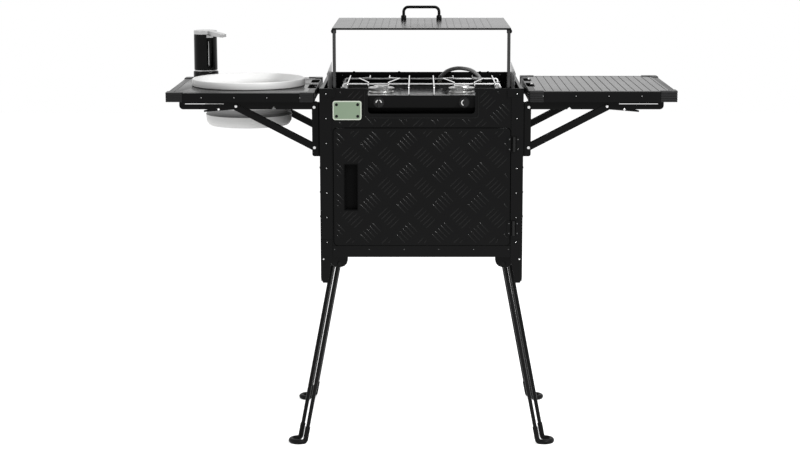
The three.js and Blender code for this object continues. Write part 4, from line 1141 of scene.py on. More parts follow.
def cut(made: bpy.types.Object, tools: Sequence[bpy.types.Object], name: str) -> bpy.types.Object:
    """Cuts tools out of a plain object and clears them away.

    Args:
        made: the object.
        tools: the tools.
        name: the cut object's name.

    Returns:
        The cut object.
    """
    for tool in tools:
        modifier = made.modifiers.new("cut", "BOOLEAN")
        modifier.operation = "DIFFERENCE"
        modifier.solver = "EXACT"
        modifier.object = tool
    result = baked(made, name)
    for tool in tools:
        old = tool.data
        bpy.data.objects.remove(tool)
        bpy.data.meshes.remove(old)
    return result


def tool_from(shape: Shape) -> bpy.types.Object:
    """A shape as a cutting tool."""
    return placed("cutting_tool", shape.as_mesh("cutting_tool"))


def box_tool(x: Flat, y: Flat, z: Flat, radius: float = 0.0) -> bpy.types.Object:
    """A cutting tool with a rounded rectangle's outline as seen from above.

    Args:
        x: its places from left to right.
        y: its places from front to rear.
        z: its bottom and top.
        radius: its corners' radius.

    Returns:
        The tool.
    """
    shape = Shape()
    shape.slab(box_outline(x, y, radius), Axis.Z, z[0], z[1], POWDER)
    return tool_from(shape)


# The kitchen's sub-assemblies


def mirrored(outline: Sequence[Flat], side: Side) -> list[Flat]:
    """An outline drawn for the right side, as it lies on a side."""
    return [(a * side.value, b) for a, b in outline]


@dataclass(frozen=True)
class Field:
    """A flat field of sheet that carries tread marks, and the parts of it that carry none."""

    origin: Point
    across: Point
    facing: Point
    a: Flat
    b: Flat
    bare: tuple[tuple[Flat, Flat], ...] = ()

    def clear(self, a: float, b: float) -> bool:
        """Whether a place on the field may carry a mark."""
        inside = self.a[0] <= a <= self.a[1] and self.b[0] <= b <= self.b[1]
        return inside and not any(x[0] <= a <= x[1] and z[0] <= b <= z[1] for x, z in self.bare)


@dataclass
class Tread:
    """The embossed tread marks of the cabinet's sheet: groups of five short ridges, each way in turn."""

    columns: tuple[float, ...] = (-210.8, -123.7, -35.5, 51.0, 137.5, 224.5)
    rows: tuple[float, ...] = (526.8, 600.8, 674.6, 749.7, 824.3)
    ridges: int = 5
    pitch: float = 10.0
    length: float = 33.0
    samples: int = 24
    least: int = 8
    dome: Dome = Dome(16.5, 1.7, 1.0, TREAD_COAT, 12, 8)

    def groups(self) -> list[tuple[float, float, float]]:
        """Places the groups on two grids, one between the other's rows and columns.

        Returns:
            Each group's centre and the way its ridges lean.
        """
        falling = [(a, b, -1.0) for a in self.columns for b in self.rows]
        between_a = [(low + high) / 2 for low, high in zip(self.columns, self.columns[1:])]
        between_b = [(low + high) / 2 for low, high in zip(self.rows, self.rows[1:])]
        edge = self.rows[0] - (self.rows[1] - self.rows[0]) / 2
        levels = (edge, *between_b, self.rows[-1] + self.rows[0] - edge)
        return falling + [(a, b, 1.0) for a in between_a for b in levels]

    def spots(self, sheet: Field) -> list[Spot]:
        """The ridges on a field, each shortened where it runs off the field.

        Args:
            sheet: the field.

        Returns:
            A spot for each ridge.
        """
        made = []
        slope = math.sqrt(0.5)
        origin, across = Vector(sheet.origin), Vector(sheet.across)
        for centre_a, centre_b, lean in self.groups():
            for ridge in range(self.ridges):
                away = (ridge - (self.ridges - 1) / 2) * self.pitch
                a = centre_a + away * slope
                b = centre_b - lean * away * slope
                run = [
                    share for share in (step / self.samples - 0.5 for step in range(self.samples + 1))
                    if sheet.clear(a + share * self.length * slope, b + lean * share * self.length * slope)
                ]
                if len(run) < self.least:
                    continue
                middle = (run[0] + run[-1]) / 2 * self.length * slope
                place = origin + across * (a + middle) + UP * (b + lean * middle)
                heading = across * slope + UP * (lean * slope)
                made.append(Spot(tuple(place), sheet.facing, tuple(heading), (run[-1] - run[0], 1.0, 1.0)))
        return made


@dataclass
class SheetCabinet:
    """The cabinet: sheets and corner posts with their rivets, the bare badge plate and the wind guards."""

    half_width: float = 245.0
    face: float = 211.0
    sheet_face: float = 208.7
    side_face: float = 242.7
    sheet_inside: float = 207.2
    post_edge: float = 0.8
    post_rivet_x: float = 229.0
    post_rivets: tuple[float, ...] = (805.6, 745.6, 685.0, 625.0, 564.7)
    hinged_rivet: float = 745.6
    flange_rivets: tuple[float, ...] = (685.0, 625.0, 565.0)
    foot_rivet: Flat = (238.0, 462.0)
    rail_rivets: tuple[float, ...] = (42.0, 127.0, 211.0)
    rail_rivet_z: float = 486.0
    rear_rivets: Outline = ((-206.0, 871.0), (-206.0, 855.0), (206.0, 871.0), (206.0, 855.0))
    rim_rivets: tuple[float, ...] = (-176.0, -58.0, 153.5, 174.5)
    rim_inset: float = 3.0
    rim_top: float = 879.6
    doublers: tuple[tuple[Flat, Flat], ...] = (
        ((217.0, 244.2), (468.0, 511.0)), ((206.0, 244.2), (857.0, 877.0)),
    )
    doubler_rivets: Outline = ((229.0, 504.0), (229.0, 865.0))
    doubler_thick: float = 1.0
    doubler_corner: float = 2.5
    doubler_edge: float = 0.3
    notch_x: Flat = (-137.0, 137.0)
    notch_z: Flat = (807.0, 871.0)
    notch_bend: float = 9.0
    notch_bead: float = 1.3
    notch_margin: float = 2.0
    badge: tuple[Flat, Flat] = ((-216.0, -141.0), (799.0, 851.0))
    plate_corner: float = 6.0
    plate_border: float = 2.6
    plate_edge: float = 0.12
    field_corner: float = 4.0
    field_rise: Flat = (0.35, -0.2)
    screw_inset: float = 9.0
    screw_rise: float = 0.3
    front_field: tuple[Flat, Flat] = ((-212.0, 212.0), (785.0, 872.0))
    side_field: tuple[Flat, Flat] = ((-164.0, 164.0), (474.0, 836.0))
    rear_field: tuple[Flat, Flat] = ((-212.0, 212.0), (474.0, 872.0))
    fitting_field: tuple[Flat, Flat] = ((-66.0, -30.0), (826.0, 864.0))
    rim_z: float = 880.0
    tread: Tread = field(default_factory=Tread)
    upper_tread: Tread = field(default_factory=lambda: Tread(
        (-189.5, -113.7, -38.0, 38.0, 113.7, 189.5), (741.5, 816.0, 890.5)))
    # Painted light on the rivets: the heads are painted darker than the coat as painted shade, and small
    # bright domes on them paint their highlights.
    head: Dome = Dome(3.6, 3.6, 1.8, PAINTED_DARK)
    small_head: Dome = Dome(3.2, 3.2, 1.6, PAINTED_DARK)
    rim_head: Dome = Dome(3.4, 3.4, 2.4, POWDER)
    bright_head: Dome = Dome(2.1, 2.1, 1.2, ZINC)
    screw_head: Dome = Dome(3.7, 3.7, 1.3, ROD_COAT)
    core: Dome = Dome(1.3, 1.3, 0.9, SATIN_CHROME, 12, 5)
    rail_core: Dome = Dome(1.4, 1.4, 0.9, SCREW_STEEL, 12, 5)

    def build(self) -> None:
        """Builds the cabinet's pieces."""
        for node in ("front_panel", "rear_panel", "floor_tray", "stove_frame"):
            softened(node)
        for side in Side:
            softened(f"{side.word}_side_panel")
            softened(f"{side.word}_wind_guard", SHEET, "bright_sheet")
            for end in End:
                softened(f"{side.word}_{end.word}_corner_post", edge=self.post_edge)
        self.rivets()
        self.corner_plates()
        self.sheet_marks()
        self.badge_plate()
        self.notch_border()

    def rivets(self) -> None:
        """Builds the posts', rails' and feet's rivets."""
        dark, bright = [], []
        for side in Side:
            for end in End:
                x, y = side.value * self.post_rivet_x, end.value * self.face
                hidden = self.hinged_rivet if side is Side.RIGHT and end is End.FRONT else None
                dark += [Spot((x, y, z), end.out) for z in self.post_rivets if z != hidden]
                flange_y = end.value * (self.face - (self.half_width - self.post_rivet_x))
                flange_x = side.value * self.half_width
                dark += [Spot((flange_x, flange_y, z), side.out) for z in self.flange_rivets]
                bright.append(Spot((side.value * self.foot_rivet[0], y, self.foot_rivet[1]), end.out))
        cored("post_rivets", dark, self.head, self.core, coated("cabinet"))
        domes("foot_rivets", bright, self.bright_head, coated("cabinet"))
        rail = [
            Spot((side.value * x, -self.sheet_face, self.rail_rivet_z), FORWARD, RIGHTWARD)
            for side in Side for x in self.rail_rivets
        ]
        rear = [Spot((x, self.sheet_inside, z), FORWARD, RIGHTWARD) for x, z in self.rear_rivets]
        cored("panel_rivets", rail + rear, self.small_head, self.rail_core, coated("cabinet"))
        rim_y = self.face - self.rim_inset
        rim = [Spot((x, rim_y, self.rim_top), UPWARD, RIGHTWARD) for x in self.rim_rivets]
        domes("rear_rim_rivets", rim, self.rim_head, coated("cabinet"))

    def corner_plates(self) -> None:
        """Builds the thin doubler plates on the posts' ends."""
        shape = Shape()
        spots = []
        for side in Side:
            for end in End:
                face = end.value * (self.face + self.doubler_thick)
                y = span(end.value * (self.face - MERGE), face)
                for plate, (x, z) in zip(self.doublers, self.doubler_rivets):
                    outline = mirrored(box_outline(*plate, self.doubler_corner), side)
                    shape.slab(outline, Axis.Y, *y, POWDER)
                    spots.append(Spot((side.value * x, face, z), end.out))
        finished(shape, "corner_doublers", coated("cabinet"), self.doubler_edge)
        cored("doubler_rivets", spots, self.head, self.core, coated("cabinet"))

    def sheet_marks(self) -> None:
        """Builds the tread marks of the cabinet's own sheets."""
        margin = self.notch_margin
        low, high = self.notch_x
        notch = ((low - margin, high + margin), (self.notch_z[0] - margin, self.rim_z))
        upper = Field((0.0, -self.sheet_face, 0.0), RIGHTWARD, FORWARD, *self.front_field,
                      (notch, self.badge))
        fields = [
            Field((side.value * self.side_face, 0.0, 0.0), (0.0, float(side.value), 0.0), side.out,
                  *self.side_field)
            for side in Side
        ]
        fields.append(Field((0.0, self.sheet_face, 0.0), (-1.0, 0.0, 0.0), End.REAR.out, *self.rear_field,
                            (self.fitting_field,)))
        spots = [spot for sheet in fields for spot in self.tread.spots(sheet)]
        spots += self.upper_tread.spots(upper)
        domes("sheet_tread", spots, self.tread.dome, coated("cabinet"))

    def badge_plate(self) -> None:
        """Builds the bare badge plate: a pale plate, a sage field and four dark screws."""
        low, high = (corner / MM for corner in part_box("name_plate"))
        x, z = (low.x, high.x), (low.z, high.z)
        shape = Shape()
        shape.slab(box_outline(x, z, self.plate_corner), Axis.Y, low.y, high.y, PALE_PLATE)
        inset = self.plate_border
        inner_x, inner_z = (x[0] + inset, x[1] - inset), (z[0] + inset, z[1] - inset)
        shape.slab(box_outline(inner_x, inner_z, self.field_corner), Axis.Y, low.y - self.field_rise[0],
                   low.y - self.field_rise[1], SAGE)
        finished(shape, "badge_plate", Fit("cabinet", "sage_enamel", ("name_plate",)), self.plate_edge)
        screw = self.screw_inset
        places = [(a, b) for a in (x[0] + screw, x[1] - screw) for b in (z[0] + screw, z[1] - screw)]
        spots = [Spot((a, low.y - self.screw_rise, b), FORWARD) for a, b in places]
        domes("badge_screws", spots, self.screw_head, Fit("cabinet", "sage_enamel"))

    def notch_border(self) -> None:
        """Builds the raised bead that runs round the front notch."""
        (low, high), (bottom, top), y = self.notch_x, self.notch_z, -self.sheet_face
        corners = vectors((low, y, top), (low, y, bottom), (high, y, bottom), (high, y, top))
        shape = Shape()
        shape.tube(bent(corners, self.notch_bend), self.notch_bead, TREAD_COAT, 12)
        finished(shape, "notch_bead", coated("cabinet"))


@dataclass
class Door:
    """The door with its tread marks, sunk pull and two hinges."""

    face: float = 211.0
    panel_edge: float = 0.5
    field_x: Flat = (-207.0, 209.0)
    field_z: Flat = (501.0, 777.0)
    pull_x: Flat = (-187.5, -150.0)
    pull_z: Flat = (581.0, 698.0)
    pull_edge: float = 0.2
    pull_lit: float = -153.8
    pull_depths: Flat = (-3.0, 13.0)
    hinge_x: float = 222.5
    hinge_edge: float = 0.25
    hinge_tall: float = 36.0
    hinge_bottoms: Flat = (520.5, 726.0)
    leaf_face: float = 212.5
    knuckle: float = 4.1
    knuckle_rises: Flat = (8.0, 0.4)
    knuckle_z: Flat = (500.0, 800.0)
    screw_places: Flat = (-10.5, 9.5)
    screw_rises: Flat = (5.4, 29.4)
    screw: Dome = Dome(1.6, 1.6, 0.9, SCREW_STEEL, 12, 6)
    # Painted shade: the widths and places of the dark strips beside the hinges' barrels.
    gap_widths: Flat = (3.6, 1.9)
    gap_rises: Flat = (0.25, -0.2)
    tread: Tread = field(default_factory=Tread)

    def build(self) -> None:
        """Builds the door's pieces."""
        softened("door_panel", edge=self.panel_edge)
        # Painted shade: the sunk pull is painted darker than the coat, all but its lit right edge, which
        # keeps a glossier coat.
        lit = Patch((self.pull_lit, self.pull_x[1]), tuple(depth - self.face for depth in self.pull_depths),
                    self.pull_z, TREAD_COAT)
        softened("door_pull", PAINTED_DARK, "black_nylon", self.pull_edge, [lit])
        sheet = Field((0.0, -self.face, 0.0), RIGHTWARD, FORWARD, self.field_x, self.field_z,
                      ((self.pull_x, self.pull_z),))
        domes("door_tread", self.tread.spots(sheet), self.tread.dome, coated("door"))
        # Painted highlight: the faces of the hinges' barrels get the lighter barrel finish.
        barrel = Patch((self.hinge_x - self.knuckle, self.hinge_x + self.knuckle),
                       tuple(-self.leaf_face - rise for rise in self.knuckle_rises), self.knuckle_z, BARREL_PAINTED_HIGHLIGHT)
        for place in ("lower", "upper"):
            for half in ("leaf", "frame"):
                softened(f"{place}_hinge_{half}", edge=self.hinge_edge, patches=[barrel])
        self.hinge_lines()
        for half, body, place in zip(("leaf", "frame"), ("door", "cabinet"), self.screw_places):
            spots = [Spot((self.hinge_x + place, -self.leaf_face, bottom + rise), FORWARD)
                     for bottom in self.hinge_bottoms for rise in self.screw_rises]
            domes(f"hinge_{half}_screws", spots, self.screw, coated(body))

    def hinge_lines(self) -> None:
        """Builds painted shade: dark strips laid on the hinges on both sides of their barrels, where shade
        falls.
        """
        y = [-self.leaf_face - rise for rise in self.gap_rises]
        for half, body, way, wide in zip(("leaf", "frame"), ("door", "cabinet"), (-1, 1), self.gap_widths):
            x = span(self.hinge_x + way * self.knuckle, self.hinge_x + way * (self.knuckle + wide))
            shape = Shape()
            for bottom in self.hinge_bottoms:
                shape.slab(box_outline(x, (bottom, bottom + self.hinge_tall)), Axis.Y, *y, PAINTED_SHADE)
            finished(shape, f"hinge_{half}_gaps", coated(body))


@dataclass
class GasStove:
    """The stove: its pressed top, burners, knobs, pan grate and gas pipes."""

    top: float = 859.0
    basin: float = 851.0
    front: float = -183.0
    body_edge: float = 0.5
    clip_x: float = 193.7
    clip_y: Flat = (-67.0, 71.0)
    clip_half: Flat = (6.0, 7.5)
    clip_rises: Flat = (-0.2, 9.0)
    valve: Flat = (103.0, 842.0)
    bezel_half: float = 13.5
    bezel_rises: Flat = (-2.0, -0.3)
    skirt_x: Flat = (-200.0, 200.0)
    skirt_rises: Flat = (-0.5, 0.5)
    skirt_z: Flat = (820.0, 858.4)
    panel_x: float = 54.0
    panel_y: Flat = (-94.0, 60.0)
    panel_corner: float = 14.0
    bead: float = 1.6
    bead_sides: int = 10
    burner: Flat = (100.0, -32.0)
    burner_edge: float = 0.25
    mixer: Outline = ((0.0, 841.5), (20.0, 841.5), (22.0, 843.5), (22.0, 851.6), (0.0, 851.6))
    cup: Outline = ((0.0, 851.3), (31.0, 851.3), (31.0, 853.4), (30.3, 854.2), (27.5, 854.6), (27.5, 859.6),
                    (26.8, 860.3), (0.0, 860.3))
    disc: Outline = ((0.0, 860.3), (31.6, 860.3), (32.5, 861.0), (32.5, 862.6), (29.2, 864.1), (21.4, 864.5),
                     (20.6, 864.3), (20.0, 865.2), (18.9, 867.4), (16.6, 868.1), (10.0, 868.3), (9.0, 867.6),
                     (5.0, 867.6), (0.0, 867.6))
    pipe: float = 6.0
    pipe_place: Flat = (-158.7, 841.5)
    ports: int = 36
    port_place: Flat = (27.5, 857.2)
    port: Dome = Dome(1.3, 0.9, 0.4, IRON, 8, 4)
    knob_edge: float = 0.6
    knob_shoulder: float = -193.8
    # Painted highlight: the bright half ring on each knob's face.
    half_ring: Flat = (5.2, 7.4)
    ring_half: float = 0.3
    ring_steps: int = 24

    def build(self) -> None:
        """Builds the stove's pieces."""
        (wide, deep), bezel = self.clip_half, self.bezel_half
        clips = [
            Patch(side.span(self.clip_x - wide, self.clip_x + wide), (y - deep, y + deep),
                  tuple(self.top + rise for rise in self.clip_rises), CHROME)
            for side in Side for y in self.clip_y
        ]
        bezels = [
            Patch((side.value * self.valve[0] - bezel, side.value * self.valve[0] + bezel),
                  tuple(self.front + rise for rise in self.bezel_rises),
                  (self.valve[1] - bezel, self.valve[1] + bezel), NYLON)
            for side in Side
        ]
        skirt = Patch(self.skirt_x, tuple(self.front + rise for rise in self.skirt_rises), self.skirt_z,
                      POWDER)
        softened("stove_body", ENAMEL, "stove_enamel", self.body_edge, [skirt, *clips, *bezels])
        self.pressed_bead()
        for side in Side:
            self.burner_stack(side)
            self.knob(side)
        PanGrate(self).build()

    def pressed_bead(self) -> None:
        """Builds the raised bead round the middle of the stove's top."""
        outline = box_outline((-self.panel_x, self.panel_x), self.panel_y, self.panel_corner, 8)
        line = [Vector((a, b, self.basin)) for a, b in outline]
        rings = []
        for index, point in enumerate(line):
            along = (line[(index + 1) % len(line)] - line[index - 1]).normalized()
            out = along.cross(UP)
            rings.append([
                point + (out * math.cos(turn) + UP * math.sin(turn)) * self.bead
                for turn in (math.tau * step / self.bead_sides for step in range(self.bead_sides))
            ])
        shape = Shape()
        shape.bridge(rings, ENAMEL, looped=True)
        finished(shape, "stove_top_bead", Fit("cabinet", "stove_enamel"))

    def burner_stack(self, side: Side) -> None:
        """Builds a burner: a dark pipe, an alloy cup with its row of ports, and a cap.

        Args:
            side: the burner's side.
        """
        x, y = centre = (side.value * self.burner[0], self.burner[1])
        shape = Shape()
        shape.turned(self.mixer, centre, IRON)
        shape.turned(self.cup, centre, ALLOY)
        shape.turned(self.disc, centre, ALLOY)
        start_y, z = self.pipe_place
        shape.tube(vectors((side.value * self.valve[0], start_y, z), (x, y, z)), self.pipe, IRON)
        name = f"{side.word}_burner"
        finished(shape, f"{name}_finished", Fit("cabinet", "burner_alloy", (name,)), self.burner_edge)
        reach, height = self.port_place
        spots = []
        for port in range(self.ports):
            turn = math.tau * port / self.ports
            out = (math.cos(turn), math.sin(turn), 0.0)
            spots.append(Spot((x + reach * out[0], y + reach * out[1], height), out))
        domes(f"{name}_ports", spots, self.port, Fit("cabinet", "burner_alloy"))

    def knob(self, side: Side) -> None:
        """Builds a gas knob: a skirted barrel with a grip bar and a bright half ring, a painted highlight for
        the lit part of the ring on the knob's face.

        Args:
            side: the knob's side.
        """
        softened(f"{side.word}_gas_knob", NYLON, "black_nylon", self.knob_edge)
        x, z = side.value * self.valve[0], self.valve[1]
        # Painted highlight: only half a ring is drawn, set a different way on each knob, where the light
        # catches it.
        first = 0.0 if side is Side.LEFT else math.pi / 2
        turns = [first + math.pi * step / self.ring_steps for step in range(self.ring_steps + 1)]
        inner, outer = self.half_ring
        outline = [(x + outer * math.cos(turn), z + outer * math.sin(turn)) for turn in turns]
        outline += [(x + inner * math.cos(turn), z + inner * math.sin(turn)) for turn in reversed(turns)]
        shape = Shape()
        shoulder, half = self.knob_shoulder, self.ring_half
        shape.slab(outline, Axis.Y, shoulder - half, shoulder + half, ALLOY)
        finished(shape, f"{side.word}_knob_ring", Fit(f"{side.word}_knob", "burner_alloy"))


@dataclass
class PanGrate:
    """The grate of plated wire: two rails across and eight wires from front to rear."""

    stove: GasStove
    rail: float = 1.9
    rail_z: float = 875.0
    rail_foot: float = 861.4
    rail_bend: float = 5.0
    wire: float = 1.65
    wire_bend: float = 2.5
    cross_z: float = 877.6
    rear_end: float = 120.0
    short_end: float = -90.0
    short_drop: float = 6.0
    low_end: float = -174.0
    low_foot: float = 860.2
    plain: Flat = (30.5, 181.5)
    kinked: Flat = (81.0, 131.0)
    kink: float = 26.0
    kink_y: tuple[float, float, float] = (67.0, 51.0, -56.0)
    sides: int = 14

    def build(self) -> None:
        """Builds the grate as one welded piece."""
        shape = Shape()
        end = self.stove.clip_x
        # Painted reflection: the rails take the pale rail finish instead of the wires' chrome.
        for y in self.stove.clip_y:
            corners = vectors((-end, y, self.rail_foot), (-end, y, self.rail_z), (end, y, self.rail_z),
                              (end, y, self.rail_foot))
            shape.tube(bent(corners, self.rail_bend), self.rail, RAIL_PAINTED_SHEEN, self.sides)
        for side in Side:
            for corners in self.wires(side):
                shape.tube(bent(corners, self.wire_bend), self.wire, CHROME, self.sides)
        finished(shape, "pan_grate_finished", Fit("grate", "chrome_wire", ("pan_grate",)))

    def wires(self, side: Side) -> list[list[Vector]]:
        """The corners of the four wires on a side.

        Args:
            side: the side.

        Returns:
            A list of corners for each wire.
        """
        inner, outer = (side.value * x for x in self.plain)
        rear, cross, short = self.rear_end, self.cross_z, self.short_end
        start, out, back = self.kink_y
        made = [
            vectors((inner, rear, cross), (inner, self.low_end, cross),
                    (inner, self.low_end, self.low_foot)),
            vectors((outer, rear, cross), (outer, short, cross), (outer, short, cross - self.short_drop)),
        ]
        for place in self.kinked:
            x = side.value * place
            outward = 1 if place > self.stove.burner[0] else -1
            made.append(vectors(
                (x, rear, cross), (x, start, cross), (x + side.value * outward * self.kink, out, cross),
                (x, back, cross), (x, short, cross), (x, short, cross - self.short_drop),
            ))
        return made


@dataclass
class GasLine:
    """The gas pipe, its bulkhead fitting and the rubber hose between them."""

    pipe_edge: float = 0.3
    fitting_edge: float = 0.4
    hose: float = 5.0
    sides: int = 20
    start: Point = (150.0, 137.0, 861.3)
    end: Point = (48.0, 190.2, 857.3)
    lift_z: float = 861.0
    lift: float = 48.0
    shares: Outline = ((0.02, 0.28), (0.18, 0.56), (0.36, 0.66), (0.58, 0.66), (0.8, 0.5), (0.97, 0.18))
    steps: int = 10

    def build(self) -> None:
        """Builds the gas line's pieces."""
        softened("gas_manifold", BRASS, "gas_brass", self.pipe_edge)
        softened("gas_bulkhead", BRASS, "gas_brass", self.fitting_edge)
        shape = Shape()
        shape.tube(self.route(), self.hose, HOSE, self.sides)
        made = finished(shape, "gas_hose_finished", Fit("cabinet", "hose_rubber", ("gas_hose",)))
        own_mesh(made)

    def route(self) -> list[Vector]:
        """The hose's centre line, smooth through its points.

        Returns:
            The line's points.
        """
        start, end = Vector(self.start), Vector(self.end)
        points = [start, start + UP * self.hose]
        for share, lift in self.shares:
            place = start.lerp(end, share)
            points.append(Vector((place.x, place.y, self.lift_z + self.lift * lift)))
        points += [end + UP * self.hose, end]
        line = []
        for index in range(len(points) - 1):
            a, b = points[index], points[index + 1]
            before = points[index - 1] if index else a * 2 - b
            after = points[index + 2] if index + 2 < len(points) else b * 2 - a
            for step in range(self.steps):
                t = step / self.steps
                line.append(0.5 * (2 * a + (b - before) * t + (2 * before - 5 * a + 4 * b - after) * t ** 2
                                   + (3 * a - before - 3 * b + after) * t ** 3))
        return [*line, end]


@dataclass
class Lid:
    """The lid: a ribbed pan on two posts, with a bent wire handle."""

    half_width: float = 214.0
    y: Flat = (-201.0, 199.0)
    top: float = 1021.5
    sheet: float = 1.2
    sheet_inset: float = 0.4
    columns: int = 860
    pitch: float = 17.7
    count: int = 20
    groove: float = 3.6
    depth: float = 0.8
    skirt: float = 4.5
    skirt_drop: float = 0.7
    skirt_lip: Outline = ((0.0, -0.6), (0.2, -0.1), (0.7, 0.0), (2.0, 0.0), (2.0, -0.6), (1.2, -1.0))
    post: Flat = (209.0, -196.0)
    post_radius: float = 4.0
    post_z: tuple[float, float, float] = (796.0, 797.0, 1016.2)
    post_edge: float = 0.3
    block: Flat = (212.5, 204.0)
    block_y: Flat = (-199.5, -189.0)
    block_z: Flat = (1009.0, 1020.0)
    block_corner: float = 1.2
    rivet: Flat = (213.4, 1013.5)
    rivet_head: Dome = Dome(5.0, 5.0, 3.2, POWDER)
    handle: Flat = (45.0, 97.0)
    handle_rise: float = 0.3
    handle_bend: float = 12.0
    handle_wire: float = 3.7
    bar: float = 1055.0
    ferrule: Outline = ((0.0, 0.0), (6.8, 0.0), (6.8, 9.0), (6.2, 11.6), (5.2, 12.6), (0.0, 12.6))

    def build(self) -> None:
        """Builds the lid's pieces."""
        first, inset = -(self.count - 1) / 2 * self.pitch, self.sheet_inset
        x, y = (inset - self.half_width, self.half_width - inset), (self.y[0] + inset, self.y[1] - inset)
        ribbed = Ribbed(x, y, self.top, first, self.pitch, self.count, self.groove, self.depth, self.sheet,
                        self.columns, TOP_COAT, LID_GROOVE_SHADE)
        made = ribbed.grow("lid_ribs")
        smooth(made.data)
        fitted(made, coated("lid", "lid_panel"))
        shape = Shape()
        low, high = self.top - self.skirt, self.top - self.skirt_drop
        section = [(0.0, low), *raised(self.skirt_lip, high), (self.sheet, low)]
        shape.rim((-self.half_width, self.half_width), self.y, section, POWDER)
        finished(shape, "lid_skirt", coated("lid"))
        self.handle_bar()
        for side in Side:
            self.slider(side)
        x, z = self.rivet
        spots = [Spot((side.value * x, self.post[1], z), side.out) for side in Side]
        domes("lid_bracket_rivets", spots, self.rivet_head, coated("lid"))

    def handle_bar(self) -> None:
        """Builds the wire handle and the ferrules at its feet."""
        half, y = self.handle
        foot = self.top + self.handle_rise
        shape = Shape()
        corners = vectors((-half, y, foot), (-half, y, self.bar), (half, y, self.bar), (half, y, foot))
        shape.tube(bent(corners, self.handle_bend, 10), self.handle_wire, HANDLE_COAT, 20)
        for side in Side:
            shape.turned(raised(self.ferrule, foot), (side.value * half, y), HANDLE_COAT, sides=28)
        finished(shape, "lid_handle_finished", coated("lid", "lid_handle"))

    def slider(self, side: Side) -> None:
        """Builds a lid post: the sliding rod and the block that carries the lid.

        Args:
            side: the post's side.
        """
        x, y = side.value * self.post[0], self.post[1]
        shape = Shape()
        outline = box_outline(side.span(*self.block), self.block_y, self.block_corner, 3)
        shape.slab(outline, Axis.Z, *self.block_z, POWDER)
        shape.tube(vectors(*[(x, y, z) for z in self.post_z]), self.post_radius, POST_STEEL, 24)
        name = f"{side.word}_lid_post"
        finished(shape, f"{name}_finished", coated("lid", name), self.post_edge)


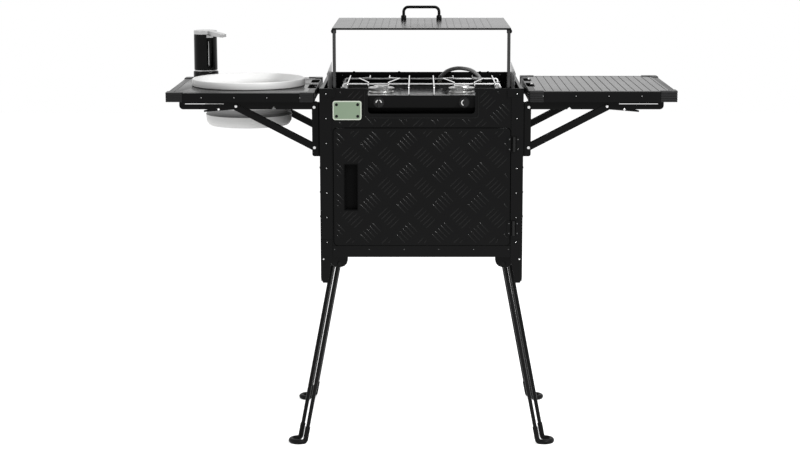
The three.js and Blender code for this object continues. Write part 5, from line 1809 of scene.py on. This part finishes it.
@dataclass
class SideTable:
    """A folding side table with its frame, top, corner caps and brackets."""

    side: Side
    inner: float = 257.0
    outer: float = 615.0
    body_x: Flat = (258.5, 613.5)
    half_depth: float = 205.0
    right_top: float = 870.0
    left_sag: float = 4.0
    bottom: float = 844.5
    rail_outside: Outline = ((0.0, -1.8), (0.25, -0.85), (0.85, -0.25), (1.8, 0.0), (15.4, 0.0), (16.0, -0.6),
                             (16.0, -3.3), (20.0, -3.3))
    rail_inside: Outline = ((18.5, -4.8), (14.5, -4.8), (14.5, -1.5), (1.5, -1.5))
    panel_x: Flat = (274.8, 597.2)
    panel_half: float = 188.7
    panel_sheet: float = 3.0
    panel_corner: float = 1.0
    panel_edge: float = 0.4
    hole_x: Flat = (260.5, 281.0)
    holes: tuple[Flat, Flat] = ((-84.0, 12.0), (61.0, 137.0))
    hole_corner: float = 4.0
    cut_past: float = 4.0
    groove_first: float = 298.3
    groove_pitch: float = 19.55
    groove_count: int = 16
    groove: float = 3.2
    groove_depth: float = 0.8
    columns: int = 810
    bowl_x: float = 433.0
    bowl_hole: float = 112.5
    cap_proud: float = 1.5
    cap_legs: Flat = (36.0, 40.0)
    cap_deep: float = 16.0
    cap_corner: float = 6.0
    cap_steps: int = 8
    cap_edge: Outline = ((-1.2, 0.0), (-0.35, 0.35), (0.0, 1.2))
    cap_ribs: int = 4
    cap_rib: Outline = ((0.0, 0.2), (-0.9, 0.7), (-0.9, 1.3), (0.0, 1.8))
    cap_rib_margin: float = 2.2
    rivet_x: tuple[float, ...] = (292.0, 371.0, 450.0, 529.0)
    rivet_drop: float = 11.0
    # Painted light: the rivets' heads are painted darker than the coat, and small bright domes on them paint
    # their highlights.
    rivet_head: Dome = Dome(3.2, 3.2, 1.6, PAINTED_DARK)
    rivet_core: Dome = Dome(1.2, 1.2, 0.9, SATIN_CHROME, 12, 5)
    arm_y: float = 183.0
    head_x: Flat = (253.0, 264.0)
    head_y: Flat = (11.55, 14.0)
    head_z: Outline = ((826.0, 836.0), (728.0, 738.0))
    channel_edge: float = 0.45
    # Painted shade: the size and place of the dark strip in each channel's mouth.
    gap_wide: float = 3.4
    gap_inset: float = 0.5
    gap_back: float = 1.5
    gap_rises: Flat = (-0.2, 0.3)
    strut_pin: tuple[float, float, float] = (447.0, 833.0, 9.5)
    strut_head: Dome = Dome(3.5, 3.5, 1.4, ZINC)
    lever_pin: tuple[float, float, float] = (489.0, 825.5, 7.5)
    lever_head: Dome = Dome(2.8, 2.8, 0.35, ZINC)

    @property
    def body(self) -> str:
        """The body that the table rides on."""
        return f"{self.side.word}_table"

    @property
    def top(self) -> float:
        """The height of the table's top, which lies a little lower on the left."""
        return self.right_top - (self.left_sag if self.side is Side.LEFT else 0.0)

    def build(self) -> None:
        """Builds the table's pieces."""
        self.frame()
        self.panel()
        self.caps()
        self.rivets()
        for end in End:
            self.brackets(end)

    def hand_holes(self) -> list[bpy.types.Object]:
        """The two cutting tools for the hand holes."""
        x, z = self.side.span(*self.hole_x), (self.bottom - self.cut_past, self.top + self.cut_past)
        return [box_tool(x, y, z, self.hole_corner) for y in self.holes]

    def frame(self) -> None:
        """Builds the folded rail round the table's top, with the hand holes cut through it."""
        low = self.bottom
        outside, inside = raised(self.rail_outside, self.top), raised(self.rail_inside, self.top)
        section = [(0.0, low), *outside, (outside[-1][0], low), (inside[0][0], low), *inside,
                   (inside[-1][0], low)]
        shape = Shape()
        shape.rim(self.side.span(*self.body_x), (-self.half_depth, self.half_depth), section, POWDER)
        name = f"{self.side.word}_table_frame"
        made = cut(shape.shown(name), self.hand_holes(), f"{name}_finished")
        smooth(made.data)
        fitted(made, coated(self.body, name))

    def panel(self) -> None:
        """Builds the table's top: plain with the bowl's hole on the left, grooved on the right."""
        node = f"{self.side.word}_table_top"
        name = f"{node}_finished"
        x, y, top = self.side.span(*self.panel_x), (-self.panel_half, self.panel_half), self.top
        if self.side is Side.RIGHT:
            ribbed = Ribbed(x, y, top, self.groove_first, self.groove_pitch, self.groove_count, self.groove,
                            self.groove_depth, self.panel_sheet, self.columns, TOP_COAT)
            made = cut(ribbed.grow(name), self.hand_holes(), name)
        else:
            shape = Shape()
            shape.slab(box_outline(x, y, self.panel_corner, 3), Axis.Z, top - self.panel_sheet, top,
                       TOP_COAT)
            low, high = top - self.cut_past * 2, top + self.cut_past
            hole = Shape()
            hole.turned([(0.0, low), (self.bowl_hole, low), (self.bowl_hole, high), (0.0, high)],
                        (self.side.value * self.bowl_x, 0.0), TOP_COAT, sides=96)
            made = cut(shape.shown(name), [*self.hand_holes(), tool_from(hole)], name)
            round_edges(made, self.panel_edge, 2)
            made = baked(made, name)
        smooth(made.data)
        fitted(made, coated(self.body, node))

    def caps(self) -> None:
        """Builds the four ribbed corner caps."""
        low, high = self.bottom, self.top + self.cap_proud
        section = raised(self.cap_edge, low)
        pitch = (high - low - self.cap_rib_margin * 2) / self.cap_ribs
        for rib in range(self.cap_ribs):
            section += raised(self.cap_rib, low + self.cap_rib_margin + rib * pitch)
        section += [(out, high - drop) for out, drop in reversed(self.cap_edge)]
        shape = Shape()
        for x, leg, way in ((self.inner, self.cap_legs[0], 1), (self.outer, self.cap_legs[1], -1)):
            for end in End:
                corner = Vector((x, end.value * (self.half_depth + self.cap_proud), 0.0))
                self.cap(shape, corner, leg, way, end, section)
        finished(shape, f"{self.side.word}_corner_caps", Fit(self.body, "black_nylon"))

    def cap(self, shape: Shape, corner: Vector, leg: float, way: int, end: End,
            section: Sequence[Flat]) -> None:
        """Adds one corner cap.

        Args:
            shape: the shape it goes in.
            corner: the cap's outer corner, for the right side.
            leg: how far it reaches along each rail.
            way: the way from the corner along the front or rear rail.
            end: the end that it stands at.
            section: its outer face, as places outward and heights.
        """
        radius, deep = self.cap_corner, self.cap_proud + self.cap_deep
        start, finish = Vector(end.out), Vector((-way, 0.0, 0.0))
        line = [(Vector((way * leg, 0.0, 0.0)), start, True)]
        centre = Vector((way * radius, -end.value * radius, 0.0))
        for step in range(self.cap_steps + 1):
            turn = math.pi / 2 * step / self.cap_steps
            out = start * math.cos(turn) + finish * math.sin(turn)
            line.append((centre + out * radius, out, False))
        line.append((Vector((0.0, -end.value * leg, 0.0)), finish, True))
        inner = Vector((way * deep, -end.value * deep, 0.0))
        rings = []
        for point, out, straight in line:
            back = point - out * deep if straight else inner
            ring = [corner + point + out * away + UP * height for away, height in section]
            ring += [corner + back + UP * section[-1][1], corner + back + UP * section[0][1]]
            rings.append([Vector((self.side.value * place.x, place.y, place.z)) for place in ring])
        shape.bridge(rings, NYLON)

    def rivets(self) -> None:
        """Builds the rivets along the front and rear rails, their heads painted dark as painted shade and
        small bright domes on them as painted highlights.
        """
        z = self.top - self.rivet_drop
        spots = [Spot((self.side.value * x, end.value * self.half_depth, z), end.out)
                 for end in End for x in self.rivet_x]
        cored(f"{self.side.word}_table_rivets", spots, self.rivet_head, self.rivet_core, coated(self.body))

    def brackets(self, end: End) -> None:
        """Builds one folding bracket: channel, arm, strut, release lever and their bright rivets, with a dark
        strip of painted shade in the channel's mouth.

        Args:
            end: the end that it stands at.
        """
        place = f"{self.side.word}_{end.word}"
        side, y = self.side.value, end.value * self.arm_y
        near, far = self.head_y
        heads = [
            Patch(self.side.span(*self.head_x), span(y + face * near, y + face * far), z, ZINC)
            for face in (-1, 1) for z in self.head_z
        ]
        softened(f"{place}_wall_channel", edge=self.channel_edge, patches=heads)
        softened(f"{place}_support_arm")
        # Painted shade: a dark strip just inside the channel's mouth, next to the cabinet, where shade falls.
        low, high = (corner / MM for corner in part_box(f"{place}_wall_channel"))
        mouth = low.x if self.side is Side.RIGHT else high.x
        face = end.value * (max(abs(low.y), abs(high.y)) - self.gap_back)
        outline = box_outline(span(mouth, mouth + side * self.gap_wide),
                              (low.z + self.gap_inset, high.z - self.gap_inset))
        shade_strip = Shape()
        shade_strip.slab(outline, Axis.Y, *span(*[face + end.value * rise for rise in self.gap_rises]), PAINTED_SHADE)
        finished(shade_strip, f"{place}_channel_gap", coated("cabinet"))
        softened(f"{place}_strut")
        softened(f"{place}_release_lever")
        for name, body, pin, head in (("strut", f"{self.side.word}_struts", self.strut_pin, self.strut_head),
                                      ("lever", self.body, self.lever_pin, self.lever_head)):
            x, z, half = pin
            spots = [Spot((side * x, y + way.value * half, z), way.out) for way in End]
            domes(f"{place}_{name}_rivet", spots, head, coated(body))


@dataclass
class WashBowl:
    """The wash bowl: a stiff rim and collar, and a soft wall that folds up."""

    centre: Flat = (-433.0, 0.0)
    wall: float = 111.5
    sheet: float = 2.5
    split: float = 846.0
    split_gap: float = 0.3
    rim_under: float = 866.3
    rim_inside: float = 865.0
    rim: Outline = ((136.5, 866.3), (140.6, 867.4), (141.5, 869.8), (141.5, 876.5), (141.2, 880.6),
                    (140.3, 882.9), (138.4, 884.0), (134.0, 883.7), (129.0, 881.6), (118.0, 874.6),
                    (113.0, 871.6), (110.2, 868.8))
    bottom: float = 767.5
    cone: float = 6.0
    fold: float = 4.0
    folds: Outline = ((0.0, 0.0), (0.06, 0.0), (0.41, 0.0), (0.45, 0.55), (0.48, 0.95), (0.53, 1.05),
                      (0.58, 0.95), (0.61, 0.55), (0.65, 0.0), (0.75, 0.0), (0.86, 0.05))
    # Where the painted shadow over the fold starts and ends, as shares of the soft wall's height from its
    # top.
    band: Flat = (0.64, 0.42)
    foot_curve: Outline = ((5.4, 5.6), (3.4, 2.2), (0.0, 0.0))
    dish: Flat = (18.0, 15.0)
    dish_deep: float = 1.0
    sides: int = 96

    def build(self) -> None:
        """Builds the bowl's two pieces."""
        inner = self.wall - self.sheet
        shape = Shape()
        rim = [(inner, self.split), (self.wall, self.split), (self.wall, self.rim_under), *self.rim,
               (inner, self.rim_inside)]
        shape.turned(rim, self.centre, SILICONE, sides=self.sides)
        finished(shape, "wash_bowl_rim", Fit("bowl", "pale_silicone", ("sink_rim",)))
        self.soft_wall()

    def outside(self) -> list[Flat]:
        """Draws the soft wall's outside.

        Returns:
            Its radius and height from the top down.
        """
        top = self.split - self.split_gap
        tall = top - self.bottom
        made = [(self.wall - self.cone * share - self.fold * fold, top - tall * share)
                for share, fold in self.folds]
        foot = self.wall - self.cone - self.fold * 2
        return [*made, *[(foot + out, self.bottom + rise) for out, rise in self.foot_curve]]

    def soft_wall(self) -> None:
        """Builds the soft wall, with a grey stripe of painted shadow over its fold, and its floor."""
        outside = self.outside()
        shape = Shape()
        shape.skin(BOWL_WALL)
        band = shape.skin(FOLD_PAINTED_SHADOW)
        floor = self.bottom + self.sheet
        dish = floor - self.dish_deep
        inside = [(radius - self.sheet, height) for radius, height in outside[:-1]]
        profile = [(0.0, self.bottom), *reversed(outside), *inside, (outside[-1][0] - self.sheet, floor),
                   (self.dish[0], floor), (self.dish[1], dish), (0.0, dish)]
        shape.turned(profile, self.centre, BOWL_WALL, sides=self.sides)
        # Painted shadow: the faces over the fold get the grey shadow finish.
        low, high = (self.split - (self.split - self.bottom) * share for share in self.band)
        for face in shape.mesh.faces:
            if low < face.calc_center_median().z < high:
                face.material_index = band
        made = finished(shape, "wash_bowl_wall", Fit("bowl", "pale_silicone", ("sink_bowl",)))
        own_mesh(made)


@dataclass
class Tap:
    """The electric tap: a glossy body on a foot, and a plated top with its spout."""

    centre: Flat = (-556.0, 146.0)
    sides: int = 64
    foot_z: float = 866.3
    foot: float = 32.0
    foot_edge: float = 0.6
    foot_head: Outline = ((32.0, -3.6), (31.4, -2.6), (29.0, -1.0), (0.0, -1.0))
    ring_z: float = 890.3
    ring: Outline = ((0.0, -1.2), (29.2, -1.2), (29.4, 0.0), (29.2, 1.4), (0.0, 1.4))
    body_foot: Outline = ((0.0, 1.2), (29.2, 1.2), (30.0, 2.2))
    body_top: float = 983.0
    body_head: Outline = ((29.6, -0.8), (28.8, 0.0), (0.0, 0.0))
    block: Outline = ((24.0, -9.0), (31.0, -9.0), (31.0, 9.0), (24.0, 9.0))
    block_z: Flat = (975.5, 982.7)
    inlay_heading: float = -62.0
    inlay_half: float = 8.0
    inlay_z: Flat = (897.0, 971.0)
    inlay_steps: int = 8
    inlay_depths: tuple[float, float, float] = (28.0, 30.2, 30.45)
    line_foot: Outline = ((-4.6, 1.0), (-3.0, -1.0), (-2.6, 1.0))
    line_head: Outline = ((-3.0, 966.0), (-4.0, 966.0))
    disc: Outline = ((0.0, 983.3), (29.2, 983.3), (29.7, 983.8), (29.7, 991.6), (29.2, 992.5), (28.0, 993.0),
                     (0.0, 993.0))
    spout: Outline = ((20.0, 992.8), (20.0, 983.7), (31.0, 983.7), (31.0, 981.0), (92.5, 980.1),
                      (94.0, 981.6), (94.0, 988.0), (92.5, 988.8), (31.0, 992.7))
    spout_half: float = 9.0
    spout_heading: float = -55.0
    spout_edge: float = 0.7
    outlet_reach: float = 86.0
    outlet: Outline = ((0.0, 979.1), (4.6, 979.1), (5.0, 979.5), (5.0, 983.0), (0.0, 983.0))

    def turned_place(self, along: float, across: float, z: float, degrees: float) -> Vector:
        """A place given from the tap's axis.

        Args:
            along: how far it is along a level direction.
            across: how far it is to the left of that.
            z: its height.
            degrees: the direction, from +X towards +Y.

        Returns:
            The place.
        """
        turn = math.radians(degrees)
        out = Vector((math.cos(turn), math.sin(turn), 0.0))
        over = Vector((-math.sin(turn), math.cos(turn), 0.0))
        return Vector((*self.centre, z)) + out * along + over * across

    def build(self) -> None:
        """Builds the tap's pieces."""
        shape = Shape()
        foot = [(0.0, self.foot_z), (self.foot - self.foot_edge, self.foot_z),
                (self.foot, self.foot_z + self.foot_edge), *raised(self.foot_head, self.ring_z)]
        shape.turned(foot, self.centre, GLOSS, sides=self.sides)
        shape.turned(raised(self.ring, self.ring_z), self.centre, SATIN_CHROME, sides=self.sides)
        body = [*raised(self.body_foot, self.ring_z), *raised(self.body_head, self.body_top)]
        shape.turned(body, self.centre, GLOSS, sides=self.sides)
        self.front_inlay(shape)
        block = [self.turned_place(along, across, 0.0, self.inlay_heading) for along, across in self.block]
        shape.slab([(place.x, place.y) for place in block], Axis.Z, *self.block_z, SATIN_CHROME)
        finished(shape, "tap_body_finished", Fit("left_table", "gloss_body", ("tap_body",)))
        self.plated_top()

    def front_inlay(self, shape: Shape) -> None:
        """Adds the dark round-ended inlay up the body's front, with the bright line beside it.

        Args:
            shape: the shape they go in.
        """
        half, (foot, top) = self.inlay_half, self.inlay_z
        end = foot + half
        turns = [math.pi * step / self.inlay_steps for step in range(self.inlay_steps + 1)]
        outline = [(-half * math.cos(turn), end - half * math.sin(turn)) for turn in turns]
        back, dark, bright = self.inlay_depths
        self.wrapped(shape, [*outline, (half, top), (-half, top)], (back, dark), INLAY)
        self.wrapped(shape, [*raised(self.line_foot, end), *self.line_head], (back, bright), SATIN_CHROME)

    def wrapped(self, shape: Shape, outline: Sequence[Flat], depths: Flat, finish: Finish) -> None:
        """Adds a thin flat outline that is wrapped round the body.

        Args:
            shape: the shape it goes in.
            outline: the places across, on the body's face, and the heights.
            depths: how far out its back and its face lie.
            finish: its finish.
        """
        radius = depths[1]
        rings = [
            [self.turned_place(out * math.cos(across / radius), out * math.sin(across / radius), z,
                               self.inlay_heading) for across, z in outline]
            for out in depths
        ]
        shape.bridge(rings, finish)

    def plated_top(self) -> None:
        """Builds the plated top and the spout that turns with it."""
        shape = Shape()
        shape.turned(self.disc, self.centre, SATIN_CHROME, sides=self.sides)
        rings = [[self.turned_place(along, across, z, self.spout_heading) for along, z in self.spout]
                 for across in (-self.spout_half, self.spout_half)]
        shape.bridge(rings, SATIN_CHROME)
        mouth = self.turned_place(self.outlet_reach, 0.0, 0.0, self.spout_heading)
        shape.turned(self.outlet, (mouth.x, mouth.y), ALLOY, sides=32)
        finished(shape, "tap_spout_finished", Fit("spout", "chrome_cap", ("tap_spout",)), self.spout_edge, 3)


@dataclass
class RodLeg:
    """A fold-in leg: one bent rod with a rubber sleeve round its foot."""

    side: Side
    end: End
    root: Flat = (210.0, 171.0)
    pivot_z: float = 448.0
    reach: float = 90.0
    turn: float = 21.0
    half_span: float = 19.5
    rod: float = 4.9
    loop: float = 29.3
    stub: float = 9.5
    bends: tuple[float, ...] = (6.0, 7.0, 19.5, 19.5, 7.0, 6.0)
    sleeve: float = 6.4
    sleeve_top: float = 42.0
    foot_z: float = 5.4
    sides: int = 20
    steps: int = 10

    def at(self, run: float, rise: float, z: float) -> Vector:
        """A place given from the leg's root.

        Args:
            run: how far out it is.
            rise: how far it is across that.
            z: its height.

        Returns:
            The place.
        """
        turn = math.radians(self.turn)
        out = Vector((self.side.value * math.cos(turn), self.end.value * math.sin(turn), 0.0))
        along = Vector((-out.y, out.x, 0.0))
        base = Vector((self.side.value * self.root[0], self.end.value * self.root[1], z))
        return base + out * run + along * rise

    def build(self) -> None:
        """Builds the leg."""
        half, far, floor, pivot = self.half_span, self.reach + self.loop, self.foot_z, self.pivot_z
        foot = [self.at(self.reach, half, floor), self.at(far, half, floor), self.at(far, -half, floor),
                self.at(self.reach, -half, floor)]
        rod = [self.at(0.0, half + self.stub, pivot), self.at(0.0, half, pivot), *foot,
               self.at(0.0, -half, pivot), self.at(0.0, -half - self.stub, pivot)]
        shape = Shape()
        shape.tube(bent(rod, self.bends, self.steps), self.rod, ROD_COAT, self.sides)
        start = self.reach * (pivot - self.sleeve_top) / (pivot - floor)
        sleeve = [self.at(start, half, self.sleeve_top), *foot, self.at(start, -half, self.sleeve_top)]
        shape.tube(bent(sleeve, self.bends[1:-1], self.steps), self.sleeve, RUBBER, self.sides)
        for point in shape.mesh.verts:
            point.co.z = max(point.co.z, 0.0)
        name = f"{self.side.word}_{self.end.word}_leg"
        finished(shape, f"{name}_finished", Fit(name, "black_rod", (name,)))


@dataclass(frozen=True)
class Lamp:
    """A soft oblong lamp: its place and aim, length and width, watts, and the way that its length runs."""

    name: str
    place: Point
    aim: Point
    size: Flat
    power: float
    along: Point = RIGHTWARD

    def hang(self) -> None:
        """Hangs the lamp."""
        data = bpy.data.lights.new(self.name, "AREA")
        data.shape = "RECTANGLE"
        data.size, data.size_y = self.size
        data.energy = self.power
        back = (Vector(self.place) - Vector(self.aim)).normalized()
        run = Vector(self.along)
        run = (run - back * run.dot(back)).normalized()
        turn = Matrix((run, back.cross(run), back)).transposed().to_4x4()
        placed(self.name, data).matrix_world = Matrix.Translation(self.place) @ turn


@dataclass
class Studio:
    """The camera, the pale floor, the white surroundings and the soft lamps."""

    place: Point = (-0.006, -4.63, 1.3175)
    tilt: float = 80.1
    lens: float = 83.25
    shift: float = -0.02375
    floor_size: float = 14.0
    floor_tone: float = 0.75
    floor_glow: float = 0.62
    sky: float = 0.6
    lamps: tuple[Lamp, ...] = (
        Lamp("key_lamp", (1.56, -1.56, 2.55), (0.0, 0.0, 0.75), (1.5, 0.26), 85.0, (0.465, 0.826, 0.32)),
        Lamp("fill_lamp", (-2.6, -1.2, 2.2), (0.0, 0.0, 0.75), (1.2, 1.2), 8.0),
        Lamp("top_lamp", (0.0, 1.2, 3.2), (0.0, 0.0, 0.9), (1.6, 1.6), 20.0),
    )

    def build(self) -> None:
        """Sets up everything that isn't part of the kitchen."""
        self.camera()
        self.floor()
        self.world()
        for lamp in self.lamps:
            lamp.hang()
        bpy.context.scene.view_settings.view_transform = "Standard"

    def camera(self) -> None:
        """Places the camera at the photograph's angle."""
        data = bpy.data.cameras.new("camera")
        data.lens = self.lens
        data.shift_x = self.shift
        made = placed("camera", data)
        made.location = self.place
        made.rotation_euler = (math.radians(self.tilt), 0.0, 0.0)
        bpy.context.scene.camera = made

    def floor(self) -> None:
        """Lays the pale floor, near white to the camera and in reflections, which keeps a shadow."""
        half = self.floor_size / 2
        data = bpy.data.meshes.new("studio_floor")
        corners = [(-half, -half, 0.0), (half, -half, 0.0), (half, half, 0.0), (-half, half, 0.0)]
        data.from_pydata(corners, [], [(0, 1, 2, 3)])
        made = placed("studio_floor", data)
        material = bpy.data.materials.new("studio_floor")
        material.use_nodes = True
        tree = material.node_tree
        feed(tree, tree.nodes["Principled BSDF"], {
            "Base Color": (*grey(self.floor_tone), 1.0),
            "Roughness": 1.0,
            "Specular IOR Level": 0.0,
            "Emission Color": (1.0, 1.0, 1.0, 1.0),
            "Emission Strength": maths(tree, "MULTIPLY", self.seen(tree), self.floor_glow),
        })
        data.materials.append(material)

    @staticmethod
    def seen(tree: bpy.types.NodeTree) -> bpy.types.NodeSocket:
        """Masks the rays that see a surface: from the camera, in reflections or through glass.

        Args:
            tree: the tree that the mask is for.

        Returns:
            The mask.
        """
        rays = node(tree, "ShaderNodeLightPath").outputs
        mask = rays["Is Camera Ray"]
        for label in ("Is Glossy Ray", "Is Transmission Ray"):
            mask = maths(tree, "MAXIMUM", mask, rays[label])
        return mask

    def world(self) -> None:
        """Makes the surroundings: white where they are seen, plain and soft where they light."""
        world = bpy.data.worlds.new("studio")
        bpy.context.scene.world = world
        world.use_nodes = True
        tree = world.node_tree
        level = node(tree, "ShaderNodeMapRange", {
            "Value": self.seen(tree), "To Min": self.sky, "To Max": 1.0,
        })
        feed(tree, tree.nodes["Background"], {
            "Color": (1.0, 1.0, 1.0, 1.0), "Strength": level,
        })


def main() -> None:
    """Dresses the kitchen over its frame."""
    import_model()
    Studio().build()
    SheetCabinet().build()
    Door().build()
    GasStove().build()
    GasLine().build()
    Lid().build()
    for side in Side:
        SideTable(side).build()
    WashBowl().build()
    Tap().build()
    for side in Side:
        for end in End:
            RodLeg(side, end).build()


if __name__ == "__main__":
    logging.basicConfig(level=logging.INFO, format="%(message)s")
    main()
